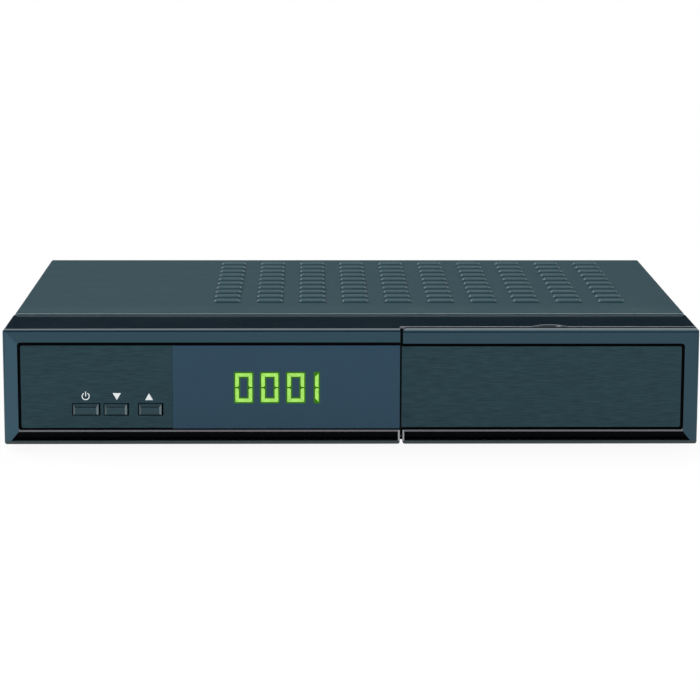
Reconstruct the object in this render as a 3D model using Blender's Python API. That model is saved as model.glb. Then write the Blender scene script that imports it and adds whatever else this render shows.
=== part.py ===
import math

import bmesh
import bpy
from mathutils import Vector

# A satellite TV receiver, in metres. +X is the viewer's right, the front faces -Y and +Z is up.
# The origin is under the middle of the whole, on the surface that the feet stand on.

# The whole
body_width = 0.280
body_depth = 0.190
bezel_height = 0.047
foot_height = 0.003
seat_gap = 0.0003
cut_overrun = 0.002
round_sides = 16
small_sides = 10
smooth_angle = math.radians(35)

# Front bezel
deck_depth = 0.036
bezel_front_wall = 0.0035
bezel_bottom_wall = 0.002
deck_wall = 0.0018
bezel_edge_radius = 0.001
tongue_length = 0.006
tongue_wall = 0.0015
partition_thickness = 0.002
partition_depth = 0.016
side_strip_width = 0.0058
side_groove_width = 0.0012
top_strip_height = 0.0057
bottom_strip_height = 0.0060
level_groove_height = 0.0009
panel_recess_depth = 0.0015
panel_thickness = 0.001
panel_set_back = 0.0002
bevel_top_height = 0.0049
bevel_bottom_height = 0.0012
bevel_depth = 0.0016
bevel_mitre_run = 0.0032
bevel_mitre_start = 0.0059
boss_radius = 0.0026
boss_inset = 0.004

# Seam between the fixed front and the flap. It is off the middle by a share of half the width.
seam_share = 0.1396
seam_width = 0.00105
inlay_overhang = 0.0004
window_width_share = 0.3272
window_end_gap = 0.00005

# Flap and its hinge
flap_thickness = 0.006
flap_end_wall = 0.0025
flap_front_wall = 0.0026
flap_top_wall = 0.002
hinge_height = 0.0029
hinge_depth = 0.0044
hinge_pin_radius = 0.0006
left_pin_length = 0.0074
right_pin_length = 0.0074
pin_seat_depth = 0.0048
lug_radius = 0.0017
lug_width = 0.003
lug_end_inset = 0.0055
lug_arm_depth = 0.006
scoop_width = 0.015
scoop_reach = 0.0056
scoop_depth = 0.001

# Panel behind the flap
inner_fascia_depth = 0.012
inner_fascia_thickness = 0.002
card_slot_width = 0.056
card_slot_height = 0.0024
card_slot_rise = 0.030
card_slot_inset = 0.030
card_reader_width = 0.062
card_reader_depth = 0.048
card_reader_height = 0.0066
card_reader_travel = 0.040
front_usb_inset = 0.018
front_usb_rise = 0.014

# Keys, with each one's centre from the front's left end and its width as shares of the whole width
key_height = 0.0051
key_rise = 0.0143
key_clearance = 0.0003
key_proud = 0.0006
key_chamfer = 0.0007
key_travel = 0.0005
key_flange_margin = 0.0007
key_flange_thickness = 0.001
key_stem_half = 0.0016
key_switch_gap = 0.0003
power_key_share = 0.1183
power_key_width_share = 0.0407
down_key_share = 0.1614
down_key_width_share = 0.0364
up_key_share = 0.2109
up_key_width_share = 0.0364
switch_width = 0.006
switch_height = 0.0035
plunger_radius = 0.0017
plunger_height = 0.0008

# Display, placed along its window
digit_count = 4
digit_width = 0.0071
digit_height = 0.0122
digit_stroke = 0.00155
digit_split = 0.0006
digit_pitch = 0.01047
digit_rise = 0.0232
first_digit_lead = 0.017
last_digit_inset = 0.0009
display_width = 0.049
display_height = 0.0175
display_centre_share = 0.464
display_front_depth = 0.0017
display_clearance = 0.0005
display_wall = 0.0015
display_mask_thickness = 0.0009
light_panel_thickness = 0.002
receiver_share = 0.851
receiver_width = 0.006
receiver_height = 0.007
receiver_depth = 0.005
receiver_lens_radius = 0.0025
receiver_clearance = 0.0005

# Front board
front_board_depth = 0.0124
board_thickness = 0.0016
front_board_margin = 0.004

# Steel cover
sheet = 0.0008
cover_inset = 0.0012
cover_step = 0.0009
cover_bend_radius = 0.0011
cover_bottom_rise = 0.0005
louvre_width = 0.0112
louvre_length = 0.005
louvre_rise = 0.0013
louvre_end_slope = 0.0010
louvre_sill = 0.0001
louvre_wall = 0.0004
louvre_pitch_x = 0.01816
louvre_pitch_y = 0.0122
louvre_left_margin = 0.0812
louvre_right_margin = 0.0218
louvre_front_margin = 0.0255
louvre_rear_margin = 0.010

# Steel tray and rear panel
tray_rise = 0.0023
tray_front_depth = 0.030
flange_height = 0.010
standoff_radius = 0.003
standoff_height = 0.005
panel_sheet = 0.001
panel_flange_depth = 0.009
panel_clearance = 0.0003

# Feet
foot_radius = 0.008
foot_chamfer = 0.001
foot_spigot_radius = 0.0024
foot_inset_x = 0.022
front_foot_depth = 0.052
rear_foot_inset = 0.024

# Screws
screw_radius = 0.0013
screw_head_radius = 0.0027
screw_head_height = 0.0014
cover_screw_head = 0.0009
cover_screw_rise = 0.0085
cover_screw_length = 0.0045
front_cover_screw_depth = 0.070
rear_cover_screw_inset = 0.018
rear_screw_share = 0.43
board_screw_reach = 0.004

# Boards
board_margin = 0.0075
board_spacing = 0.018
power_board_width = 0.060
power_board_depth = 0.118
power_board_rear_gap = 0.011
main_board_depth = 0.087
main_board_rear_gap = 0.002
board_hole_inset = 0.005

# Rear sockets, with their places and widths along the main board
tuner_width_share = 0.232
tuner_depth = 0.046
tuner_height = 0.015
tuner_centre_share = 0.14
lnb_spacing_share = 0.524
lnb_radius = 0.0047
lnb_collar_radius = 0.0056
lnb_hole_radius = 0.0007
lnb_hole_depth = 0.006
connector_stickout = 0.010
hdmi_width_share = 0.083
hdmi_height = 0.0056
hdmi_depth = 0.012
hdmi_centre_share = 0.33
usb_width = 0.0131
usb_height = 0.0057
usb_depth = 0.014
usb_centre_share = 0.435
socket_wall = 0.0004
socket_tongue = 0.001
socket_recess = 0.009
socket_floor = 0.0015
spdif_width_share = 0.0553
spdif_height = 0.010
spdif_depth = 0.014
spdif_port = 0.0062
spdif_port_depth = 0.0015
spdif_centre_share = 0.525
jack_block_width_share = 0.0774
jack_block_height = 0.029
jack_block_depth = 0.013
jack_radius = 0.0041
jack_hole_radius = 0.0016
jack_length = 0.008
jack_low_rise = 0.0075
jack_spacing = 0.0135
jack_centre_share = 0.62
scart_width_share = 0.26
scart_height = 0.0145
scart_depth = 0.014
scart_rim = 0.0015
scart_core_width_share = 0.787
scart_core_height = 0.0052
scart_slant = 0.004
scart_recess = 0.009
scart_centre_share = 0.825

# Main board parts
processor_side = 0.027
processor_height = 0.0022
processor_centre_share = 0.62
processor_inset = 0.040
heatsink_side = 0.030
heatsink_base = 0.0025
heatsink_fin = 0.0012
heatsink_fin_height = 0.009
heatsink_fin_count = 7

# Power board parts
transformer_width = 0.028
transformer_depth = 0.026
transformer_height = 0.020
transformer_core = 0.008
capacitor_radius = 0.008
capacitor_height = 0.024
power_heatsink_width = 0.036
power_heatsink_sheet = 0.002
power_heatsink_height = 0.021
power_heatsink_foot = 0.010
inlet_width = 0.022
inlet_height = 0.014
inlet_depth = 0.016
inlet_recess_width = 0.0165
inlet_recess_height = 0.0084
inlet_recess_depth = 0.011
inlet_pin_radius = 0.0012
inlet_pin_spacing = 0.0086
inlet_pin_length = 0.009
inlet_inset = 0.016

# Mains rocker
rocker_length = 0.0172
rocker_width = 0.0105
rocker_tilt = math.radians(12)
rocker_end_rise = 0.0024
rocker_middle_rise = 0.0006
rocker_side_drop = 0.0006
rocker_base_drop = 0.0030
rocker_base_half = 0.0035
rocker_trunnion_radius = 0.001
rocker_trunnion_length = 0.0008
rocker_end_clearance = 0.0008
rocker_cavity_depth = 0.0048
rocker_housing_wall = 0.0016
rocker_housing_depth = 0.013
rocker_flange_margin = 0.0015
rocker_flange_thickness = 0.0015
rocker_inset = 0.046
rocker_rise = 0.0245

# Cables
ribbon_width = 0.020
ribbon_thickness = 0.001
ribbon_centre_share = 0.174
ribbon_start_rise = 0.020
ribbon_lead = 0.010
ribbon_plug_height = 0.006
ribbon_plug_depth = 0.006
harness_radius = 0.002
harness_arch = 0.012
harness_inset = 0.004
harness_depth_share = 0.55
lead_radius = 0.0012
lead_slack = 0.012
lead_points = 13

# Planes and lines that the sizes give
front_y = (key_proud - body_depth - connector_stickout) / 2
rear_y = front_y + body_depth
base_z = foot_height
top_z = base_z + bezel_height
half_width = body_width / 2
seam_x = seam_share * half_width
screw_hole_radius = screw_radius + seat_gap
cover_half = half_width - cover_inset
cover_top = top_z + cover_step
cover_under = cover_top - sheet
cover_front = front_y + deck_depth + seat_gap
inner_half = cover_half - sheet - seat_gap
hollow_half = inner_half - tongue_wall
hollow_top = top_z - deck_wall
hollow_bottom = base_z + bezel_bottom_wall
front_hollow_y = front_y + bezel_front_wall
tray_bottom = base_z + tray_rise
tray_top = tray_bottom + sheet
board_bottom = tray_top + standoff_height + seat_gap
board_top = board_bottom + board_thickness
part_seat = board_top + seat_gap
flange_inner = inner_half - sheet
panel_inner_y = rear_y - panel_sheet
panel_bottom = base_z + bottom_strip_height + level_groove_height
panel_top = top_z - top_strip_height - level_groove_height
panel_front_y = front_y + panel_set_back
panel_back_y = panel_front_y + panel_thickness
fascia_left = -half_width + side_strip_width + side_groove_width
window_width = window_width_share * body_width
window_right = seam_x - window_end_gap
window_left = window_right - window_width
display_centre_x = window_left + display_centre_share * window_width
first_digit_x = display_centre_x - first_digit_lead
last_digit_x = first_digit_x + (digit_count - 1) * digit_pitch + last_digit_inset
receiver_x = window_left + receiver_share * window_width
power_key_x = power_key_share * body_width - half_width
down_key_x = down_key_share * body_width - half_width
up_key_x = up_key_share * body_width - half_width
power_key_width = power_key_width_share * body_width
down_key_width = down_key_width_share * body_width
up_key_width = up_key_width_share * body_width
flap_left = seam_x + seam_width
flap_right = half_width
flap_back_y = front_y + flap_thickness
hinge_y = front_y + hinge_depth
hinge_z = base_z + hinge_height
swing_radius = math.hypot(hinge_depth, hinge_height) + seat_gap
bay_front_y = flap_back_y + seat_gap
board_front_y = front_y + front_board_depth
board_back_y = board_front_y + board_thickness
front_board_left = -hollow_half + front_board_margin
front_board_right = seam_x - partition_thickness - front_board_margin
front_board_bottom = hollow_bottom + front_board_margin
front_board_top = hollow_top - front_board_margin
power_board_left = -flange_inner + board_margin
power_board_right = power_board_left + power_board_width
power_board_rear = panel_inner_y - power_board_rear_gap
power_board_front = power_board_rear - power_board_depth
main_board_left = power_board_right + board_spacing
main_board_right = flange_inner - board_margin
main_board_width = main_board_right - main_board_left
main_board_rear = panel_inner_y - main_board_rear_gap
main_board_front = main_board_rear - main_board_depth
ribbon_x = main_board_left + ribbon_centre_share * main_board_width

for leftover in list(bpy.data.objects):
    bpy.data.objects.remove(leftover, do_unlink=True)


def finish(name, colour, roughness, metallic):
    made = bpy.data.materials.new(name)
    made.use_nodes = True
    shader = made.node_tree.nodes["Principled BSDF"]
    shader.inputs["Base Color"].default_value = (*colour, 1)
    shader.inputs["Roughness"].default_value = roughness
    shader.inputs["Metallic"].default_value = metallic
    return made


gloss_black = finish("gloss_black", (0.012, 0.020, 0.026), 0.12, 0)
brushed_black = finish("brushed_black", (0.026, 0.052, 0.062), 0.42, 0.6)
smoked_acrylic = finish("smoked_acrylic", (0.034, 0.070, 0.105), 0.08, 0)
key_black = finish("key_black", (0.030, 0.055, 0.068), 0.30, 0)
painted_steel = finish("painted_steel", (0.046, 0.084, 0.100), 0.50, 0)
plated_steel = finish("plated_steel", (0.55, 0.55, 0.53), 0.35, 1)
bright_steel = finish("bright_steel", (0.62, 0.62, 0.60), 0.25, 1)
black_steel = finish("black_steel", (0.02, 0.02, 0.022), 0.45, 0)
black_plastic = finish("black_plastic", (0.02, 0.02, 0.022), 0.45, 0)
white_plastic = finish("white_plastic", (0.75, 0.75, 0.72), 0.40, 0)
green_board = finish("green_board", (0.02, 0.14, 0.06), 0.40, 0)
green_light = finish("green_light", (0.35, 0.68, 0.16), 0.40, 0)
dark_rubber = finish("dark_rubber", (0.02, 0.02, 0.02), 0.80, 0)
grey_aluminium = finish("grey_aluminium", (0.50, 0.51, 0.52), 0.40, 1)
chip_black = finish("chip_black", (0.025, 0.025, 0.028), 0.50, 0)
coil_yellow = finish("coil_yellow", (0.70, 0.52, 0.08), 0.45, 0)
ribbon_grey = finish("ribbon_grey", (0.42, 0.42, 0.44), 0.50, 0)


def point_on(axis, along, first, second):
    if axis == "X":
        return Vector((along, first, second))
    if axis == "Y":
        return Vector((first, along, second))
    return Vector((first, second, along))


def add_object(name, mesh, look, smooth=False):
    bmesh.ops.recalc_face_normals(mesh, faces=mesh.faces[:])
    data = bpy.data.meshes.new(name)
    mesh.to_mesh(data)
    mesh.free()
    if smooth:
        data.shade_smooth()
        data.set_sharp_from_angle(angle=smooth_angle)
    made = bpy.data.objects.new(name, data)
    bpy.context.scene.collection.objects.link(made)
    if look:
        data.materials.append(look)
    return made


def block(name, xs, ys, zs, look=None):
    return prism(name, rectangle(xs, ys), "Z", zs[0], zs[1], look)


def rectangle(firsts, seconds):
    (left, right), (low, high) = firsts, seconds
    return [(left, low), (right, low), (right, high), (left, high)]


def add_prism(mesh, outline, axis, low, high):
    start = [mesh.verts.new(point_on(axis, low, *pair)) for pair in outline]
    grown = bmesh.ops.extrude_face_region(mesh, geom=[mesh.faces.new(start)])
    moved = [item for item in grown["geom"] if isinstance(item, bmesh.types.BMVert)]
    bmesh.ops.translate(mesh, verts=moved, vec=point_on(axis, high - low, 0, 0))


def prism(name, outline, axis, low, high, look=None):
    mesh = bmesh.new()
    add_prism(mesh, outline, axis, low, high)
    return add_object(name, mesh, look)


def rounded_block(name, xs, ys, zs, radius, look):
    # The edges of the back face stay sharp, the others are rounded.
    mesh = bmesh.new()
    add_prism(mesh, rectangle(xs, ys), "Z", zs[0], zs[1])
    front = [edge for edge in mesh.edges if min(vert.co.y for vert in edge.verts) < (ys[0] + ys[1]) / 2]
    bmesh.ops.bevel(mesh, geom=front, offset=radius, segments=2, profile=0.5, affect="EDGES")
    return add_object(name, mesh, look)


def stepped(name, axis, sections, look=None):
    # Each section is its place along the axis and its rectangle's low and high sides.
    mesh = bmesh.new()
    rings = []
    for along, first_low, first_high, second_low, second_high in sections:
        corners = rectangle((first_low, first_high), (second_low, second_high))
        rings.append([mesh.verts.new(point_on(axis, along, *pair)) for pair in corners])
    mesh.faces.new(rings[0])
    mesh.faces.new(rings[-1])
    for ring, following in zip(rings, rings[1:]):
        for here in range(4):
            after = (here + 1) % 4
            mesh.faces.new((ring[here], ring[after], following[after], following[here]))
    return add_object(name, mesh, look)


def add_turned(mesh, axis, centre, profile, sides):
    # The profile's points are a place along the axis and a radius.
    points = [mesh.verts.new(point_on(axis, along, radius, 0) + point_on(axis, 0, *centre))
              for along, radius in profile]
    edges = [mesh.edges.new(pair) for pair in zip(points, points[1:])]
    bmesh.ops.spin(mesh, geom=points + edges, cent=point_on(axis, 0, *centre), axis=point_on(axis, 1, 0, 0),
                   angle=math.tau, steps=sides, use_merge=True)


def turned(name, axis, centre, profile, look=None, sides=round_sides):
    mesh = bmesh.new()
    add_turned(mesh, axis, centre, profile, sides)
    bmesh.ops.remove_doubles(mesh, verts=mesh.verts[:], dist=seat_gap / 100)
    return add_object(name, mesh, look, smooth=True)


def rods(name, axis, members, look=None, sides=small_sides):
    # Each member is its centre, its two ends and its radius. None of them touch.
    mesh = bmesh.new()
    for centre, low, high, radius in members:
        add_turned(mesh, axis, centre, [(low, 0), (low, radius), (high, radius), (high, 0)], sides)
    bmesh.ops.remove_doubles(mesh, verts=mesh.verts[:], dist=seat_gap / 100)
    return add_object(name, mesh, look, smooth=True)


def rod(name, axis, centre, low, high, radius, look=None, sides=round_sides):
    return rods(name, axis, [(centre, low, high, radius)], look, sides)


def combine(target, operation, *tools):
    for tool in tools:
        step = target.modifiers.new(tool.name, "BOOLEAN")
        step.operation = operation
        step.solver = "EXACT"
        step.object = tool
        tool.hide_render = True
        tool.display_type = "WIRE"


def gathered(name, *tools):
    # Tools that don't touch work as one.
    mesh = bmesh.new()
    for tool in tools:
        mesh.from_mesh(tool.data)
        bpy.data.objects.remove(tool, do_unlink=True)
    return add_object(name, mesh, None)


def cut(target, *tools):
    combine(target, "DIFFERENCE", *tools)


def weld(target, *tools):
    combine(target, "UNION", *tools)


def tube(name, path, radius, look):
    data = bpy.data.curves.new(name, "CURVE")
    data.dimensions = "3D"
    data.bevel_depth = radius
    data.bevel_resolution = 2
    data.use_fill_caps = True
    spline = data.splines.new("POLY")
    spline.points.add(len(path) - 1)
    for point, place in zip(spline.points, path):
        point.co = (*place, 1)
    data.materials.append(look)
    made = bpy.data.objects.new(name, data)
    bpy.context.scene.collection.objects.link(made)
    return made


def joint_empty(name, place):
    made = bpy.data.objects.new(name, None)
    made.location = place
    made.hide_render = True
    bpy.context.scene.collection.objects.link(made)
    return made


def carry(empty, *pieces):
    for piece in pieces:
        piece.location = piece.location - empty.location
        piece.parent = empty


def centred(middle, width):
    return middle - width / 2, middle + width / 2


def screw(name, axis, centre, seat, toward, length, head_height, look):
    # The head lies on the seat's outer side and the shank runs the other way.
    profile = [
        (seat - toward * (seat_gap + head_height), 0),
        (seat - toward * (seat_gap + head_height), screw_head_radius - head_height / 3),
        (seat - toward * (seat_gap + head_height / 2), screw_head_radius),
        (seat - toward * seat_gap, screw_head_radius),
        (seat - toward * seat_gap, screw_radius),
        (seat + toward * length, screw_radius),
        (seat + toward * length, 0),
    ]
    return turned(name, axis, centre, profile, look, small_sides)


# The black bevel under the front runs from mitre to mitre across both halves.
def lower_bevel_cutter():
    slope = (bevel_top_height - bevel_bottom_height) / bevel_depth
    reach_height = bevel_top_height + cut_overrun * slope
    mitre = bevel_mitre_run / (bevel_top_height - bevel_bottom_height)
    mesh = bmesh.new()
    ends = []
    for side in (-1, 1):
        ring = []
        for depth, height in ((-cut_overrun, reach_height), (bevel_depth, bevel_bottom_height),
                              (-cut_overrun, bevel_bottom_height)):
            reach = half_width - bevel_mitre_start + (bevel_top_height - height) * mitre
            ring.append(mesh.verts.new((side * reach, front_y + depth, base_z + height)))
        ends.append(ring)
        mesh.faces.new(ring)
    for here in range(3):
        after = (here + 1) % 3
        mesh.faces.new((ends[0][here], ends[0][after], ends[1][after], ends[1][here]))
    return add_object("lower_bevel_cut", mesh, None)


lower_bevel = lower_bevel_cutter()
swing_cut = rod("flap_swing_cut", "X", (hinge_y, hinge_z), seam_x, half_width + cut_overrun, swing_radius)
keys = {
    "power": (power_key_x, power_key_width),
    "down": (down_key_x, down_key_width),
    "up": (up_key_x, up_key_width),
}
key_z = base_z + key_rise
key_zs = centred(key_z, key_height)
digit_z = base_z + digit_rise
display_xs = centred(display_centre_x, display_width)
display_zs = centred(digit_z, display_height)
display_y = front_y + display_front_depth
lug_xs = (flap_right - lug_end_inset - lug_width, flap_right - lug_end_inset)


def lug_outline():
    # The lug's nose is round about the hinge line and its arm comes up from the bottom wall behind.
    nose = []
    for step in range(small_sides + 1):
        angle = math.pi * (0.5 + step / small_sides)
        nose.append((hinge_y + lug_radius * math.cos(angle), hinge_z + lug_radius * math.sin(angle)))
    foot_y = hinge_y + swing_radius
    back_y = foot_y + lug_arm_depth
    return nose + [(foot_y, hinge_z - lug_radius), (foot_y, base_z + bezel_bottom_wall / 2),
                   (back_y, base_z + bezel_bottom_wall / 2), (back_y, hinge_z + lug_radius)]


def under_cover_outline(bottom):
    # What fits under the cover has its two bends' corners cut off.
    top = cover_under - seat_gap
    corner = cover_bend_radius - sheet
    right_side = [(inner_half, bottom), (inner_half, top - corner), (inner_half - corner, top)]
    return right_side + [(-x, z) for x, z in reversed(right_side)]


def front_bezel():
    bezel = rounded_block("front_bezel", (-half_width, half_width), (front_y, front_y + deck_depth),
                          (base_z, top_z), bezel_edge_radius, gloss_black)
    tongue_bottom = hollow_bottom + cut_overrun
    weld(bezel, prism("tongue", under_cover_outline(tongue_bottom), "Y", front_y + deck_depth / 2,
                      front_y + deck_depth + tongue_length))
    hollow_end = front_y + deck_depth + tongue_length + cut_overrun
    partition_y = front_y + partition_depth
    partition_left = seam_x - partition_thickness
    hollow_outline = [(-hollow_half, front_hollow_y), (partition_left, front_hollow_y),
                      (partition_left, partition_y), (seam_x, partition_y),
                      (seam_x, front_y - cut_overrun), (hollow_half, front_y - cut_overrun),
                      (hollow_half, hollow_end), (-hollow_half, hollow_end)]
    cut(bezel,
        prism("hollow", hollow_outline, "Z", hollow_bottom, hollow_top),
        block("tongue_foot_cut", (-half_width - cut_overrun, half_width + cut_overrun),
              (front_y + deck_depth, hollow_end), (base_z - cut_overrun, tongue_bottom + cut_overrun)),
        block("flap_room", (seam_x, half_width + cut_overrun), (front_y - cut_overrun, bay_front_y),
              (base_z - cut_overrun, top_z + cut_overrun)),
        swing_cut,
        lower_bevel)
    recess_left = -half_width + side_strip_width
    recess_zs = (base_z + bottom_strip_height, top_z - top_strip_height)
    recess_ys = (front_y - cut_overrun, front_y + panel_recess_depth)
    cut(bezel, block("panel_recess", (recess_left, seam_x + cut_overrun / 2), recess_ys, recess_zs))
    wall_ys = (front_y - cut_overrun, front_hollow_y + cut_overrun / 2)
    wall_holes = []
    for name, middle, width, height, spare in (
            ("display_hole", display_centre_x, display_width, display_height, display_clearance),
            ("receiver_hole", receiver_x, receiver_width, receiver_height, receiver_clearance)):
        wall_holes.append(block(name, centred(middle, width + 2 * spare), wall_ys,
                                centred(digit_z, height + 2 * spare)))
    for name, (middle, width) in keys.items():
        wall_holes.append(block(name + "_key_hole", centred(middle, width), wall_ys, key_zs))
    cut(bezel, gathered("wall_holes", *wall_holes))
    bosses = []
    for boss_x in (front_board_left + boss_inset, front_board_right - boss_inset):
        for boss_z in (front_board_bottom + boss_inset, front_board_top - boss_inset):
            bosses.append(((boss_x, boss_z), front_hollow_y - bezel_front_wall / 3, board_front_y - seat_gap,
                           boss_radius))
    lug = prism("lug", lug_outline(), "X", *lug_xs)
    weld(bezel, gathered("bosses_and_lug", rods("bosses", "Y", bosses), lug))
    bore_radius = hinge_pin_radius + seat_gap
    axis_place = (hinge_y, hinge_z)
    bores = rods("hinge_bores", "X", [
        (axis_place, lug_xs[0] - cut_overrun, lug_xs[1] + cut_overrun, bore_radius),
        (axis_place, partition_left - cut_overrun, seam_x + cut_overrun, bore_radius)])
    scoop_radius = ((scoop_width / 2) ** 2 + scoop_reach ** 2) / (2 * scoop_reach)
    scoop_centre = ((flap_left + flap_right) / 2, bay_front_y + scoop_reach - scoop_radius)
    scoop = rod("finger_scoop", "Z", scoop_centre, top_z - scoop_depth, top_z + cut_overrun, scoop_radius,
                sides=2 * round_sides)
    cut(bezel, gathered("bores_and_scoop", bores, scoop))
    return bezel


def fixed_front_panels():
    ys = (panel_front_y, panel_back_y)
    fascia = block("left_fascia", (fascia_left, window_left - seat_gap), ys, (panel_bottom, panel_top),
                   brushed_black)
    for name, (middle, width) in keys.items():
        cut(fascia, block(name + "_fascia_hole", centred(middle, width),
                          (ys[0] - cut_overrun, ys[1] + cut_overrun), key_zs))
    block("display_window", (window_left, window_right), ys, (panel_bottom, panel_top), smoked_acrylic)


def flap():
    frame = rounded_block("flap_frame", (flap_left, flap_right), (front_y, flap_back_y), (base_z, top_z),
                          bezel_edge_radius, gloss_black)
    groove_left = flap_right - side_strip_width
    inlay_right = groove_left - side_groove_width
    cut(frame,
        lower_bevel,
        block("inlay_recess", (flap_left - cut_overrun, groove_left),
              (front_y - cut_overrun, front_y + panel_recess_depth),
              (base_z + bottom_strip_height, top_z - top_strip_height)),
        block("flap_pocket", (flap_left + flap_end_wall, flap_right - flap_end_wall),
              (front_y + flap_front_wall, flap_back_y + cut_overrun),
              (base_z + bevel_top_height, top_z - flap_top_wall)),
        block("lug_notch", (lug_xs[0] - seat_gap, lug_xs[1] + seat_gap),
              (hinge_y - lug_radius - seat_gap, flap_back_y + cut_overrun),
              (base_z - cut_overrun, hinge_z + lug_radius + 2 * seat_gap)))
    bore_radius = hinge_pin_radius + seat_gap
    left_bore_end = flap_left + pin_seat_depth
    right_bore_end = flap_right - (lug_end_inset - pin_seat_depth)
    cut(frame, rods("flap_bores", "X", [
        ((hinge_y, hinge_z), flap_left - cut_overrun, left_bore_end, bore_radius),
        ((hinge_y, hinge_z), lug_xs[1] - seat_gap, right_bore_end, bore_radius)]))
    inlay = block("flap_inlay", (flap_left - inlay_overhang, inlay_right), (panel_front_y, panel_back_y),
                  (panel_bottom, panel_top), brushed_black)
    left_end = left_bore_end - seat_gap
    left_pin = rod("flap_pin_left", "X", (hinge_y, hinge_z), left_end - left_pin_length, left_end,
                   hinge_pin_radius, bright_steel, small_sides)
    right_end = right_bore_end - seat_gap
    right_pin = rod("flap_pin_right", "X", (hinge_y, hinge_z), right_end - right_pin_length, right_end,
                    hinge_pin_radius, bright_steel, small_sides)
    hinge = joint_empty("flap_hinge", ((flap_left + flap_right) / 2, hinge_y, hinge_z))
    carry(hinge, frame, inlay, left_pin, right_pin)


def cage_socket(name, centre_x, mouth_y, inward, width, height, depth, low_z, look):
    # A metal shell, open at its mouth, with the contact tongue in its middle.
    back_y = mouth_y + inward * depth
    shell = block(name, centred(centre_x, width), sorted((mouth_y, back_y)), (low_z, low_z + height), look)
    recess_end = mouth_y + inward * socket_recess
    middle_z = low_z + height / 2
    cut(shell, block(name + "_recess", centred(centre_x, width - 2 * socket_wall),
                     sorted((mouth_y - inward * cut_overrun, recess_end)),
                     centred(middle_z, height - 2 * socket_wall)))
    tongue_width = width - 2 * (socket_wall + socket_tongue)
    weld(shell, block(name + "_tongue", centred(centre_x, tongue_width),
                      sorted((mouth_y + inward * socket_tongue, recess_end + inward * socket_floor)),
                      centred(middle_z, socket_tongue)))
    return shell


def behind_the_flap():
    panel_y = front_y + inner_fascia_depth
    back_y = panel_y + inner_fascia_thickness
    xs = (seam_x + seat_gap, hollow_half - seat_gap)
    zs = (hollow_bottom + seat_gap, hollow_top - seat_gap)
    panel = block("inner_fascia", xs, (panel_y, back_y), zs, black_plastic)
    card_x = xs[1] - card_slot_inset - card_slot_width / 2
    card_z = base_z + card_slot_rise
    slot_zs = centred(card_z, card_slot_height)
    usb_x = xs[0] + front_usb_inset
    usb_z = base_z + front_usb_rise
    through = (panel_y - cut_overrun, back_y + cut_overrun)
    lug_room = (lug_xs[0] - seat_gap, lug_xs[1] + seat_gap)
    cut(panel,
        block("card_slot", centred(card_x, card_slot_width), through, slot_zs),
        block("front_usb_hole", centred(usb_x, usb_width + 2 * panel_clearance), through,
              (usb_z - panel_clearance, usb_z + usb_height + panel_clearance)),
        block("lug_room", lug_room, through, (base_z, hinge_z + lug_radius + seat_gap)))
    reader_y = back_y + seat_gap
    reader = block("card_reader", centred(card_x, card_reader_width),
                   (reader_y, reader_y + card_reader_depth), centred(card_z, card_reader_height),
                   plated_steel)
    cut(reader, block("card_way", centred(card_x, card_slot_width),
                      (reader_y - cut_overrun, reader_y + card_reader_travel), slot_zs))
    cage_socket("front_usb_socket", usb_x, panel_y - seat_gap, 1, usb_width, usb_height, usb_depth, usb_z,
                plated_steel)


def push_keys():
    cap_front = front_y - key_proud
    flange_front = front_hollow_y + seat_gap
    flange_back = flange_front + key_flange_thickness
    switch_back = board_front_y - seat_gap
    switch_front = switch_back - switch_height
    plunger_tip = switch_front - plunger_height
    stem_end = plunger_tip - key_travel - key_switch_gap
    for name, (middle, width) in keys.items():
        half_x = width / 2 - key_clearance
        half_z = key_height / 2 - key_clearance
        sections = []
        for along, grow_x, grow_z in (
                (cap_front, half_x - key_chamfer, half_z - key_chamfer),
                (cap_front + key_chamfer, half_x, half_z),
                (flange_front, half_x, half_z),
                (flange_front, half_x + key_flange_margin, half_z + key_flange_margin),
                (flange_back, half_x + key_flange_margin, half_z + key_flange_margin),
                (flange_back, key_stem_half, key_stem_half),
                (stem_end, key_stem_half, key_stem_half)):
            sections.append((along, middle - grow_x, middle + grow_x, key_z - grow_z, key_z + grow_z))
        key = stepped(name + "_key", "Y", sections, key_black)
        carry(joint_empty(name + "_key_slide", (middle, cap_front, key_z)), key)
        body = block(name + "_switch", centred(middle, switch_width), (switch_front, switch_back),
                     centred(key_z, switch_width), black_plastic)
        weld(body, rod(name + "_plunger", "Y", (middle, key_z), plunger_tip,
                       switch_front + switch_height / 2, plunger_radius, sides=small_sides))


def half_digit(name, left, side):
    # Half of a zero: a level bar with a leg at each end, open toward the digit's middle.
    inner = digit_z + side * digit_split / 2
    outer = digit_z + side * digit_height / 2
    bar = outer - side * digit_stroke
    right = left + digit_width
    outline = [(left, inner), (left, outer), (right, outer), (right, inner),
               (right - digit_stroke, inner), (right - digit_stroke, bar),
               (left + digit_stroke, bar), (left + digit_stroke, inner)]
    return prism(name, outline, "Y", display_y - cut_overrun, display_y + display_wall)


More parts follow.
